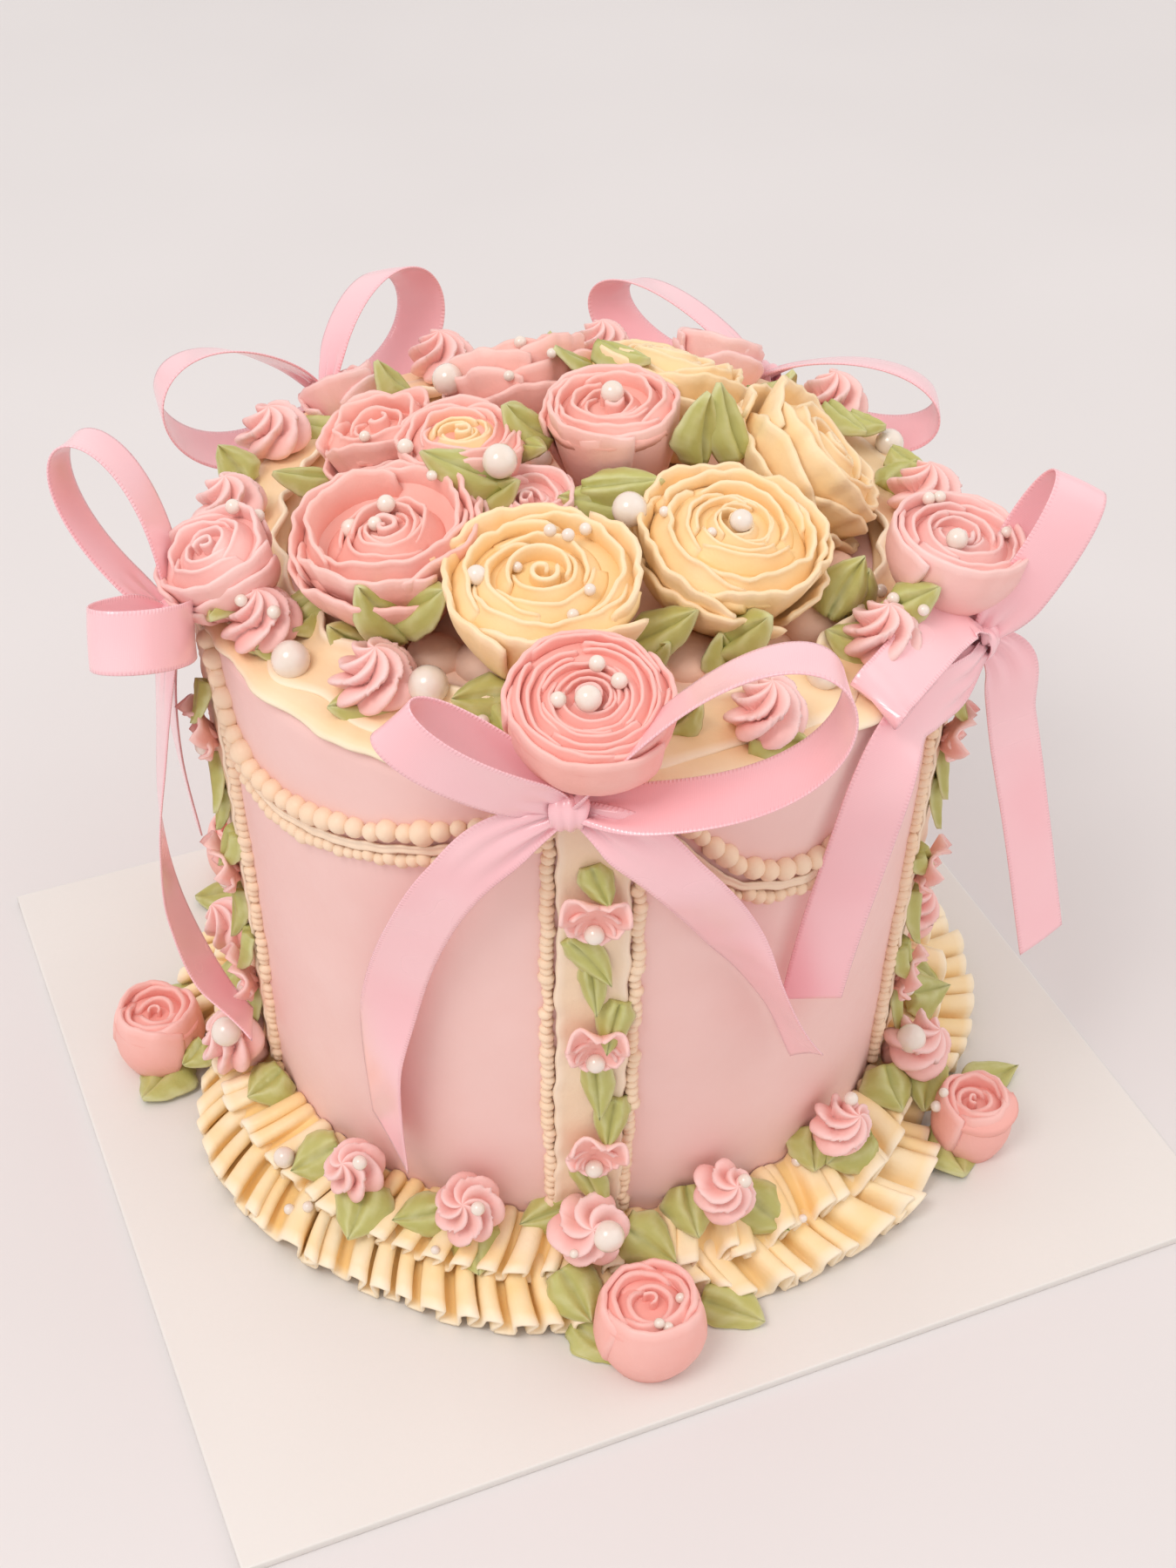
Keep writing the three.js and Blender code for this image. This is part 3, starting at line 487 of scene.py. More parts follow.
def pearl_finish(name):
    m, nt, bsdf, link = material(name)
    cloud = noise(nt, link, 260, 2)
    link(mixed(nt, link, ranged(nt, link, cloud, 0.3, 0.7, 0.0, 1.0), (0.81, 0.69, 0.595), (0.85, 0.755, 0.68)), bsdf.inputs["Base Color"])
    link(ranged(nt, link, cloud, 0.3, 0.7, 0.16, 0.26), bsdf.inputs["Roughness"])
    bsdf.inputs["Specular IOR Level"].default_value = 0.7
    bsdf.inputs["Coat Weight"].default_value = 0.5
    bsdf.inputs["Coat Roughness"].default_value = 0.12
    return m


def card(name):
    m, nt, bsdf, link = material(name)
    fibre, cloud = noise(nt, link, 900, 2, 0.65), noise(nt, link, 18, 1)
    colour = mixed(nt, link, ranged(nt, link, cloud, 0.3, 0.7, 0.0, 1.0), (0.775, 0.735, 0.70), (0.795, 0.755, 0.72))
    colour = mixed(nt, link, ranged(nt, link, fibre, 0.4, 0.8, 0.0, 0.25), colour, (0.77, 0.725, 0.685))
    link(colour, bsdf.inputs["Base Color"])
    link(ranged(nt, link, fibre, 0.3, 0.7, 0.42, 0.58), bsdf.inputs["Roughness"])
    link(bumped(nt, link, fibre, 0.08, 0.0002), bsdf.inputs["Normal"])
    bsdf.inputs["Specular IOR Level"].default_value = 0.4
    return m


# each icing: base colour; deep colour, which paints shade into recesses and is also mixed in at random for uneven
# colour; pale colour, which paints highlight on rims and ridges
BODY = icing("body_icing", (0.885, 0.585, 0.55), (0.86, 0.545, 0.505), (0.91, 0.645, 0.61), rough=0.5, grain=0.07)
PINK = icing("pink_icing", (0.93, 0.56, 0.50), (0.90, 0.42, 0.345), (0.97, 0.69, 0.645), rough=0.46)
PALE_PINK = icing("pale_pink_icing", (0.925, 0.51, 0.46), (0.89, 0.385, 0.325), (0.97, 0.67, 0.63), rough=0.46)
SOFT_PINK = icing("soft_pink_icing", (0.93, 0.60, 0.565), (0.90, 0.455, 0.405), (0.97, 0.74, 0.71), rough=0.46)
ROSETTE = icing("rosette_icing", (0.93, 0.585, 0.55), (0.89, 0.43, 0.38), (0.97, 0.73, 0.71), rough=0.46)
CREAM = icing("cream_icing", (0.945, 0.725, 0.46), (0.955, 0.635, 0.26), (0.97, 0.81, 0.61), rough=0.46)
BUTTER = icing("butter_icing", (0.95, 0.73, 0.48), (0.92, 0.60, 0.30), (0.98, 0.84, 0.66), rough=0.46)
FRILL = icing("frill_icing", (0.96, 0.79, 0.54), (0.93, 0.585, 0.16), (0.98, 0.86, 0.69), rough=0.46)
BEADING = icing("bead_icing", (0.905, 0.70, 0.52), (0.895, 0.635, 0.43), (0.93, 0.77, 0.625), rough=0.48)
BEDS = icing("bed_icing", (0.97, 0.67, 0.53), (0.91, 0.55, 0.39), (0.97, 0.72, 0.58), rough=0.5)
LEAF = icing("leaf_icing", (0.53, 0.515, 0.175), (0.405, 0.38, 0.095), (0.70, 0.685, 0.41), rough=0.4)
SATIN = satin("satin_ribbon")
PEARL = pearl_finish("pearl")
CARD = card("board_card")


# ---------------------------------------------------------------- camera and stage
F_PX, PP = 2615.077, (678.744, 911.919)
YAW, PITCH, ROLL = 23.48225 * DEG, 40.48199 * DEG, -1.06354 * DEG
EYE = np.array([-165.934, -385.803, 449.792])
fwd = np.array([math.sin(YAW) * math.cos(PITCH), math.cos(YAW) * math.cos(PITCH), -math.sin(PITCH)])
right = np.array([math.cos(YAW), -math.sin(YAW), 0.0])
down = np.cross(fwd, right)
VIEW_R = math.cos(ROLL) * right + math.sin(ROLL) * down
VIEW_D = -math.sin(ROLL) * right + math.cos(ROLL) * down

cam = bpy.data.cameras.new("camera")
cam.sensor_fit, cam.sensor_height, cam.sensor_width = "AUTO", 36, 36
cam.lens = F_PX / 1800 * 36
cam.shift_x, cam.shift_y = -(PP[0] - 675) / 1800, (PP[1] - 900) / 1800
cam.clip_start, cam.clip_end = 0.01, 30
eye = bpy.data.objects.new("camera", cam)
m4 = Matrix.Identity(4)
for c, axis in enumerate((VIEW_R, -VIEW_D, -fwd, EYE * MM)):
    for r in range(3):
        m4[r][c] = axis[r]
eye.matrix_world = m4
bpy.context.scene.collection.objects.link(eye)
bpy.context.scene.camera = eye


def ray(u, v):
    """Direction from the eye through a point of the 1350 x 1800 picture."""
    return unit((u - PP[0]) / F_PX * VIEW_R + (v - PP[1]) / F_PX * VIEW_D + fwd)


def floor():
    n = 64
    a = np.linspace(0, 2 * np.pi, n, endpoint=False)
    me = bpy.data.meshes.new("floor")
    me.from_pydata([(3.2 * math.cos(t), 3.2 * math.sin(t), 0.0) for t in a], [], [list(range(n))])
    m, nt, bsdf, link = material("floor_stone")
    cloud = noise(nt, link, 5, 2, 0.6)
    link(mixed(nt, link, ranged(nt, link, cloud, 0.35, 0.65, 0.0, 1.0), (0.735, 0.695, 0.69), (0.755, 0.715, 0.71)), bsdf.inputs["Base Color"])
    bsdf.inputs["Roughness"].default_value = 0.55
    bsdf.inputs["Specular IOR Level"].default_value = 0.25
    me.materials.append(m)
    o = bpy.data.objects.new("floor", me)
    bpy.context.scene.collection.objects.link(o)


def lamp(name, place, target, size, watts, colour):
    data = bpy.data.lights.new(name, "AREA")
    data.shape, data.size, data.energy, data.color = "DISK", size, watts, colour
    o = bpy.data.objects.new(name, data)
    o.location = place
    o.rotation_euler = (Vector(target) - Vector(place)).to_track_quat("-Z", "Y").to_euler()
    bpy.context.scene.collection.objects.link(o)


floor()
lamp("key", (-0.8, -0.35, 1.4), (0, 0, 0.1), 0.7, 8, (1.0, 0.975, 0.955))
lamp("fill", (1.1, -0.5, 1.0), (0, 0, 0.1), 1.4, 2.5, (1.0, 0.97, 0.955))
world = bpy.data.worlds.new("studio")
bpy.context.scene.world = world
world.use_nodes = True
world.node_tree.nodes["Background"].inputs["Color"].default_value = (1.0, 0.98, 0.965, 1)
world.node_tree.nodes["Background"].inputs["Strength"].default_value = 0.88
bpy.context.scene.view_settings.view_transform = "Standard"


# ---------------------------------------------------------------- board and cake body
def board():
    x, y, t = BOARD
    rows = []
    outline = lambda inset, z: [(sx * (x / 2 - inset), sy * (y / 2 - inset), z) for sx, sy in ((-1, -1), (1, -1), (1, 1), (-1, 1))]
    bevel = 0.35

    def ring(inset, z, n=24):
        c = np.array(outline(inset, z))
        return np.concatenate([c[k] + (c[(k + 1) % 4] - c[k]) * np.linspace(0, 1, n, endpoint=False)[:, None] for k in range(4)])

    for inset, z in ((bevel * 2, 0), (bevel, 0), (0.1, 0.1), (0, bevel), (0, t - bevel), (0.1, t - 0.1), (bevel, t), (bevel * 2, t)):
        rows.append(ring(inset, z))
    h = Heap()
    skin(h, np.array(rows))
    o = h.make("cake_board", CARD)
    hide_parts("board")


def body():
    rng = np.random.default_rng(5)
    m = 240
    az = np.linspace(0, 360, m, endpoint=False)
    prof = [(RB - 1.5, GAP), (RB - 0.4, GAP + 0.3)] + [(float(wall(z)), z) for z in np.linspace(1.2, H - 4.2, 50)]
    prof += [(RT - 0.25, H - 2.6), (RT - 0.8, H - 1.3), (RT - 1.8, H - 0.5), (RT - 3.4, H - 0.1), (RT - 8, H), (RT - 20, H), (RT - 45, H), (8, H)]
    drift = round_wave(rng, az, 2, 5)
    rows = []
    for k, (r, z) in enumerate(prof):
        side = 1.0 if 2 < k < 52 else 0.0
        # faint bands left by the smoother, and slow unevenness
        bump = 0.16 * drift * math.sin(z / 24) + 0.1 * np.sin(z / 5.3 + 0.8 * drift) + 0.12 * round_wave(np.random.default_rng(9), az + 0.4 * z, 3, 11)
        rows.append(at(r + side * bump, az, z))
    h = Heap()
    skin(h, np.array(rows))
    o = h.make("cake_icing", BODY)
    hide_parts("cake_body")


# ---------------------------------------------------------------- top: border and bed
def border():
    rng = np.random.default_rng(21)
    h = Heap()
    n = 360
    az = np.linspace(0, 360, n, endpoint=False)
    w1, w2, w3 = round_wave(rng, az, 18, 34, 4), round_wave(rng, az, 9, 20, 4), round_wave(rng, az, 40, 70, 4)
    # lower band, its wavy edge lying along the rim
    sec = [(67, 0.75), (72, 0.9), (77, 1.05), (82, 1.15), (85.2, 1.0), (86.6, 0.6), (87.2, 0.0)]
    rows = []
    for k, (r, z) in enumerate(sec):
        f = k / (len(sec) - 1)
        rows.append(at(r + f * f * (0.5 * w1 + 0.2 * w3), az, H + z + 0.3 * f * w2 + 0.1 * (1 - f) * w1 + 0.35))
    f = np.linspace(0, 1, len(sec))
    # painted highlight towards the outer edge of the lower band
    shell(h, np.stack(rows, 1), np.linspace(1.4, 0.9, len(sec))[None], closed=True, painted_highlight=smooth(0.75, 1, f)[None] * 0.7)
    # upper band, its inner edge standing up
    sec = [(81.5, 2.05), (79, 2.2), (76, 2.5), (72.8, 3.0), (70.2, 4.0), (68.6, 5.6), (68.0, 7.2)]
    rows = []
    for k, (r, z) in enumerate(sec):
        g, e = k / (len(sec) - 1), 1 - k / (len(sec) - 1)
        rows.append(at(r + e * e * (1.3 * w2 + 0.6 * w1) + g * g * (1.1 * w1), az, H + z + 0.5 * w2 * g + 0.3 * w3 * g * g))
    # painted highlight along both edges of the upper band
    shell(h, np.stack(rows, 1)[:, ::-1], np.linspace(1.3, 0.9, len(sec))[None], closed=True, painted_highlight=np.maximum(smooth(0.25, 0.0, f), smooth(0.85, 1, f))[None] * 0.7)
    o = h.make("rim_border", BUTTER)
    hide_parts("top_border")


def bed():
    rng = np.random.default_rng(33)
    h = Heap()
    az = np.linspace(0, 360, 120, endpoint=False)
    w = round_wave(rng, az, 3, 9)
    rows = [at(58.0 + 1.0 * w, az, H + 0.05), at(60.5 + 1.2 * w, az, H + 0.9), at(59 + 1.2 * w, az, H + 2.0)]
    for r in np.linspace(54, 2, 16):
        rows.append(at(r + 0.6 * w * r / 55, az, H + 2.8 + 6.8 * smooth(50, 18, r) + 0.4 * w * smooth(0, 30, r)))
    skin(h, np.array(rows), tone_and_shade=0.25)
    spots = [(51.2, 24.3, 8.2), (58.8, 55.8, 7.4), (60.9, -48.1, 7.0), (51.9, -24.3, 7.6), (61.5, 27.9, 5.6), (53.8, 12.4, 6.4), (54.7, -36.3, 6.6)]
    spots += [(57 + 3 * rng.random(), a + 6 * rng.random(), 6 + 2 * rng.random()) for a in range(72, 300, 22)]
    C, A = [], []
    for r, a, s in spots:
        C.append(at(r, a, H + 2.6))
        A.append(np.stack([along(a) * s, outward(a) * -s * 0.92, np.array([0, 0, 0.62 * s])]))
    balls(h, C, A, 20, 12, tone_and_shade=rng.random(len(C)) * 0.3)
    o = h.make("rose_bed_icing", BEDS)
    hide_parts("rose_bed")


# ---------------------------------------------------------------- ruffle round the foot
def ruffle():
    rng = np.random.default_rng(12)
    h = Heap()
    per, up = 14, 9
    for row, (pleats, r_in, r_out, z_in, z_out, a_in, a_out) in enumerate((
        (94, 87.5, 107.4, 9.8, 4.0, 1.5, 3.1), (86, 82.9, 97.8, 16.6, 10.8, 1.1, 2.9))):
        n = pleats * per
        phi = np.linspace(0, 2 * np.pi * pleats, n, endpoint=False)
        base = np.linspace(0, 360, n, endpoint=False)
        slow, mid, odd = round_wave(rng, base, 5, 17), round_wave(rng, base, 24, 45), round_wave(rng, base, 28, 60)
        size = 1 + 0.26 * np.clip(mid, -1.6, 1.6)
        pitch = 360 / pleats
        dip = np.minimum(1, sum(near(base, row[1], 9) for row in FOOT_ROSE.values()))
        back = near(base, 180 - FRONT, 45)
        out = r_out - (np.maximum(11 * dip, 7 * back) if row == 0 else 3 * dip)
        f = np.linspace(0, 1, up)
        P, pleat_shade = np.zeros((n, up, 3)), np.zeros((n, up))
        for j, t in enumerate(f):
            fold = (0.04 + 0.12 * t**0.8) * (1 + 0.35 * np.clip(odd, -1.5, 1.5))  # how far the loops close on themselves
            lean = 0.2 * t**0.7 * (1 + 0.4 * np.clip(slow, -1.5, 1.5))
            amp = (a_in + (a_out - a_in) * t**0.6) * size
            a = base + pitch * (0.22 * mid + fold * np.sin(2 * phi) + lean * np.cos(phi) + 0.8 * t**1.6 * (1 if row == 0 else -0.6)) + 0.4 * slow * t
            r = r_in + (out - r_in) * t + (0.9 * slow + 0.5 * odd + 0.7 * np.cos(phi) * t) * t
            z = z_in + (z_out - z_in) * t**1.2 + amp * (np.cos(phi) - 0.07 * np.cos(3 * phi)) + 0.4 * slow * t
            if row == 0:
                z = np.maximum(z, 0.95)
            P[:, j] = at(r, a, z)
            # painted shade in the valleys of the pleats
            pleat_shade[:, j] = 0.75 * (0.5 - 0.5 * np.cos(phi)) ** 1.3
        # painted highlight on the outer rims of the pleats
        shell(h, P, np.linspace(1.5, 0.95, up)[None], closed=True, painted_highlight=smooth(0.88, 1.0, f)[None] * 0.7, rim_edge=0.8)
        d = pleat_shade.ravel()
        h.T[-1] = np.concatenate([d, d, pleat_shade[:, 0], pleat_shade[::-1, -1]])
    # the icing under the pleats, painted halfway to the deep colour as shade under them
    az = np.linspace(0, 360, 160, endpoint=False)
    dip = np.minimum(1, sum(near(az, row[1], 9) for row in FOOT_ROSE.values()))
    back = near(az, 180 - FRONT, 45)
    cut = np.maximum(11 * dip, 7 * back)
    sec = [(80.5, 0.45), (101.5, 0.45), (101, 1.4), (94, 6.0), (90.5, 10.2), (86, 13.4), (82.5, 15.0), (81, 15.0)]
    P = np.stack([at(r - (cut * smooth(88, 100, r)), az, z) for r, z in sec], 1)
    F = quads(160, len(sec), wrap_u=True, wrap_v=True)
    h.add(P.reshape(-1, 3), F, 0.0, 0.5)
    o = h.make("foot_ruffle", FRILL)
    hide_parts("base_ruffle")


# ---------------------------------------------------------------- columns, beads and swags
def strips():
    for k, (name, az) in enumerate(COLUMNS.items()):
        rng = np.random.default_rng(40 + k)
        h = Heap()
        z = np.linspace(STRIP[1] - 12, STRIP[2] + 3, 90)
        v = np.linspace(-1, 1, 11)
        q = (z - z[0]) / (z[-1] - z[0])
        left = 7.1 + 0.22 * np.sin(z / 1.6 + 0.8 * wobble(rng, q, 3)) + 0.4 * wobble(rng, q, 6)
        rite = 7.1 + 0.22 * np.sin(z / 1.5 + 2 + 0.8 * wobble(rng, q, 3)) + 0.4 * wobble(rng, q, 6)
        hw = np.where(v[None] < 0, left[:, None], rite[:, None])
        lip = smooth(0.7, 1.0, np.abs(v))[None]
        off = GAP + 0.75 + 0.55 * lip * (1 + 0.35 * np.sin(z / 1.3)[:, None]) + 0.12 * wobble(rng, q, 7)[:, None]
        A = az + v[None] * hw / (wall(z)[:, None] * DEG)
        P = at(wall(z)[:, None] + off, A, np.repeat(z[:, None], len(v), 1))
        # painted highlight on the raised lips along both sides
        shell(h, P.transpose(1, 0, 2), 1.3, painted_highlight=(0.5 * lip + 0 * off).T)
        o = h.make("strip_" + name, BEADING)
        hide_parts("column_" + name)


SWAGS = {
    "left": [(-70, 150), (-66.8, 143.4), (-63.5, 133), (-60, 128), (-55, 126.2), (-49, 126.6), (-42.4, 128), (-36.5, 130.4), (-30.4, 133), (-24.8, 136), (-19.5, 139.4), (-14.5, 142.2), (-9.7, 145), (-5, 148)],
    "right": [(6, 150), (9, 147), (12, 143.6), (14.7, 138.6), (18.2, 131.4), (21.8, 126.6), (25.4, 123.6), (30, 121.4), (34.8, 121.2), (39.8, 124.2), (43.9, 129.3), (48.2, 136.5), (52, 143.5), (56, 149.5)],
}
for key, a, b in (("side", 70, 146), ("back", 146, 220), ("far", 220, 287)):
    SWAGS[key] = [(a + 7.5 + (b - a - 15) * s, 122 + 27 * abs(2 * s - 1) ** 2.6) for s in np.linspace(0, 1, 14)]


def swag_line(rows, drop, n):
    """Evenly spaced (azimuth, height) points of a swag, moved down across its own line."""
    p = np.array(rows, float)
    flat = np.stack([p[:, 0] * DEG * RT, p[:, 1], 0 * p[:, 0]], 1)
    c = spline(flat, 400)
    t = unit(np.gradient(c, axis=0))
    c = c + drop * np.stack([t[:, 1], -t[:, 0], 0 * t[:, 0]], 1)
    s = np.concatenate([[0], np.cumsum(np.linalg.norm(np.diff(c, axis=0), axis=1))])
    q = np.linspace(0, s[-1], n) if n > 1 else np.arange(0, s[-1], n)
    return np.stack([np.interp(q, s, c[:, 0]) / (DEG * RT), np.interp(q, s, c[:, 1])], 1), s[-1]


def on_wall(az, z, off):
    return at(wall(z) + off, az, z)


def bead_row(C, A, az, z, size, rng, long=1.12, off=0.6):
    P = on_wall(az, z, off)
    T = unit(np.gradient(P, axis=0))
    O = outward(az)
    B = unit(np.cross(O, T))
    for k in range(len(P)):
        s = size * (1 + 0.09 * rng.standard_normal())
        C.append(P[k] + 0.25 * rng.standard_normal() * B[k])
        A.append(np.stack([T[k] * s * 0.5 * long, B[k] * s * 0.5, O[k] * s * 0.5]))


def beads():
    rng = np.random.default_rng(77)
    C, A = [], []
    for az in COLUMNS.values():
        for side in (-6.5, 6.3):
            z = np.arange(19.5, 146, 2.35)
            z = z + 0.12 * rng.standard_normal(len(z))
            lean = 0.5 * smooth(60, 20, z)
            bead_row(C, A, az + side * (1 - 0.12 * lean * 2) + 0.1 * rng.standard_normal(len(z)) * 0.6, z, 3.45, rng, 0.86)
    h = Heap()
    balls(h, C, A, 9, 6, tone_and_shade=0.25 * rng.random(len(C)))
    C, A = [], []
    lines = Heap()
    for rows in SWAGS.values():
        _, long = swag_line(rows, 0, 2)
        p, _ = swag_line(rows, 0, int(long / 4.1))
        bead_row(C, A, p[:, 0], p[:, 1], 5.0, rng, 1.05, 0.9)
        p, long = swag_line(rows[1:-1], 7.6, 2)
        p, _ = swag_line(rows[1:-1], 7.6, int(long / 2.75))
        bead_row(C, A, p[:, 0], p[:, 1], 3.4, rng, 1.08, 0.5)
        p, _ = swag_line(rows, 4.5, 90)
        q = np.linspace(0, 1, 90)
        az, z = p[:, 0], p[:, 1] + 0.45 * wobble(rng, q, 9)
        v = np.linspace(-1, 1, 5)
        T = unit(np.gradient(on_wall(az, z, 0), axis=0))
        B = unit(np.cross(outward(az), T))
        S = on_wall(az, z, 0.75)[:, None] + B[:, None] * (v[None, :, None] * (0.85 + 0.15 * wobble(rng, q, 6))[:, None, None]) + outward(az)[:, None] * (0.35 * (v**2)[None, :, None] + 0.15 * wobble(rng, q, 11)[:, None, None])
        # painted highlight along the thin raised line
        shell(lines, S.transpose(1, 0, 2)[::-1], 0.7, painted_highlight=0.3)
    balls(h, C, A, 10, 7, tone_and_shade=0.25 * rng.random(len(C)))
    o = h.make("piped_beads", BEADING)
    o = lines.make("swag_lines", BEADING)


# ---------------------------------------------------------------- roses
# style: centre turns, centre radius, then rings of (rim radius, petals, rim height, depth of the groove outside it, wave, corner drop, thickness, flare, overlap)
STYLES = {
    "cabbage": (1.0, 0.13, [(0.30, 2, 0.97, 4.0, 0.5, 1.2, 1.6, 0.3, 1.25), (0.51, 3, 0.985, 4.6, 0.6, 1.5, 1.7, 0.4, 1.22), (0.74, 3, 0.985, 5.2, 0.8, 1.8, 1.8, 0.6, 1.22), (0.97, 4, 0.965, 6.0, 0.9, 2.2, 2.2, 0.7, 1.3)]),
    "wound": (1.2, 0.10, [(0.19, 2, 0.98, 2.6, 0.3, 0.7, 1.2, 0.0, 1.25), (0.29, 2, 0.99, 2.8, 0.3, 0.8, 1.2, 0.1, 1.25), (0.40, 3, 0.985, 3.2, 0.4, 1.0, 1.3, 0.2, 1.22), (0.54, 3, 0.97, 4.2, 0.6, 1.5, 1.5, 0.4, 1.2), (0.76, 3, 0.95, 5.4, 1.0, 2.4, 1.8, 0.9, 1.2), (0.95, 4, 0.89, 5.0, 1.3, 3.0, 2.0, 1.2, 1.3), (1.03, 3, 0.66, 5.0, 1.5, 3.4, 2.1, 1.3, 1.0)]),
    "broad": (1.0, 0.16, [(0.36, 2, 0.98, 3.6, 0.6, 1.2, 1.6, 0.3, 1.25), (0.62, 3, 0.98, 5.0, 1.0, 2.0, 1.8, 0.7, 1.22), (0.95, 3, 0.95, 5.5, 1.2, 2.8, 2.1, 1.0, 1.35), (1.03, 4, 0.72, 5.0, 1.7, 3.2, 2.2, 1.5, 1.1), (1.06, 3, 0.46, 5.0, 1.6, 3.0, 2.2, 1.6, 1.0)]),
    "open": (1.0, 0.11, [(0.22, 2, 0.90, 2.8, 0.4, 1.0, 1.3, 0.0, 1.25), (0.34, 2, 0.91, 3.4, 0.5, 1.2, 1.4, 0.1, 1.25), (0.46, 3, 0.86, 6.0, 0.7, 1.6, 1.6, 0.3, 1.2), (0.80, 3, 1.0, 4.5, 0.9, 2.2, 1.8, 0.9, 1.22), (0.97, 4, 0.95, 5.0, 1.1, 2.6, 1.9, 1.1, 1.3), (1.03, 3, 0.74, 5.0, 1.3, 3.0, 2.0, 1.2, 0.95)]),
    "garden": (0.9, 0.17, [(0.36, 2, 0.96, 3.2, 0.5, 1.0, 1.4, 0.1, 1.25), (0.58, 2, 0.985, 3.6, 0.6, 1.3, 1.5, 0.3, 1.25), (0.79, 3, 1.0, 3.8, 0.7, 1.5, 1.6, 0.4, 1.22), (0.97, 3, 0.98, 5.0, 0.7, 1.8, 2.0, 0.5, 1.35)]),
    "tight": (1.2, 0.13, [(0.26, 2, 0.965, 2.0, 0.3, 0.5, 1.25, 0.0, 1.15), (0.38, 2, 0.975, 2.1, 0.35, 0.6, 1.25, 0.0, 1.15), (0.50, 3, 0.985, 2.2, 0.4, 0.6, 1.3, 0.0, 1.14), (0.63, 3, 0.99, 2.4, 0.4, 0.7, 1.3, 0.0, 1.14), (0.76, 3, 0.985, 2.6, 0.4, 0.8, 1.35, 0.1, 1.14), (0.88, 3, 0.97, 2.8, 0.4, 0.9, 1.4, 0.1, 1.14), (0.985, 3, 0.93, 3.0, 0.4, 1.2, 1.9, 0.0, 1.3)]),
    "bowl": (1.1, 0.16, [(0.34, 2, 0.93, 3.0, 0.5, 0.9, 1.4, 0.0, 1.2), (0.54, 3, 0.95, 3.2, 0.5, 1.0, 1.5, 0.1, 1.2), (0.76, 3, 0.965, 3.6, 0.5, 1.2, 1.5, 0.1, 1.2), (0.98, 3, 0.985, 4.0, 0.4, 1.0, 1.9, 0.1, 1.5)]),
    "ruffled": (1.0, 0.16, [(0.36, 2, 0.98, 3.2, 0.7, 1.2, 1.4, 0.1, 1.22), (0.60, 3, 0.98, 4.0, 0.9, 1.6, 1.5, 0.3, 1.2), (0.97, 3, 0.91, 4.5, 0.8, 2.0, 1.9, 0.4, 1.35), (1.02, 3, 0.72, 4.5, 1.0, 2.4, 1.9, 0.7, 0.95)]),
    "folded": (0.8, 0.18, [(0.44, 2, 0.95, 4.5, 1.0, 1.8, 1.5, 0.4, 1.2), (0.72, 2, 1.0, 5.0, 1.4, 2.4, 1.6, 0.6, 1.25), (0.96, 3, 0.96, 5.0, 1.4, 2.6, 1.8, 0.9, 1.3), (1.04, 3, 0.7, 5.0, 1.4, 2.8, 1.9, 1.0, 0.95)]),
    "stamen": (1.0, 0.14, [(0.27, 3, 0.93, 2.2, 0.4, 0.7, 1.2, 0.0, 1.2), (0.42, 3, 0.95, 2.6, 0.4, 0.8, 1.3, 0.1, 1.2), (0.62, 3, 0.95, 3.4, 0.7, 1.2, 1.4, 0.3, 1.2), (0.80, 3, 0.97, 3.6, 0.8, 1.5, 1.5, 0.5, 1.2), (0.98, 4, 0.91, 4.4, 0.9, 2.0, 1.8, 0.7, 1.3)]),
    "frilled": (1.0, 0.16, [(0.36, 2, 0.95, 3.0, 0.6, 0.9, 1.4, 0.0, 1.2), (0.64, 3, 0.97, 3.2, 0.8, 1.2, 1.5, 0.2, 1.2), (0.96, 3, 0.98, 4.0, 0.9, 1.6, 1.8, 0.4, 1.4), (1.03, 3, 0.74, 4.0, 1.0, 2.2, 1.9, 0.7, 0.95)]),
    "cup": (0.55, 0.15, [(0.40, 2, 0.93, 3.4, 0.4, 1.6, 2.3, 0.0, 1.12), (0.66, 2, 0.98, 4.0, 0.5, 2.2, 2.4, -0.1, 1.15), (0.93, 3, 1.0, 4.8, 0.4, 2.2, 2.6, -1.3, 1.3)]),
}
# how the outer wall swells from foot to rim: share of the radius at the foot, share of the height where it is full
WALLS = {"tight": (0.5, 0.72), "bowl": (0.52, 0.75), "cup": (0.66, 0.5), "ruffled": (0.5, 0.85)}
# where the outer petals start and how far their free ends stick out
ENDS = {"cabbage": ([59, 149, 239, 329], [3.2, 0.8, 3.2, 0.8])}


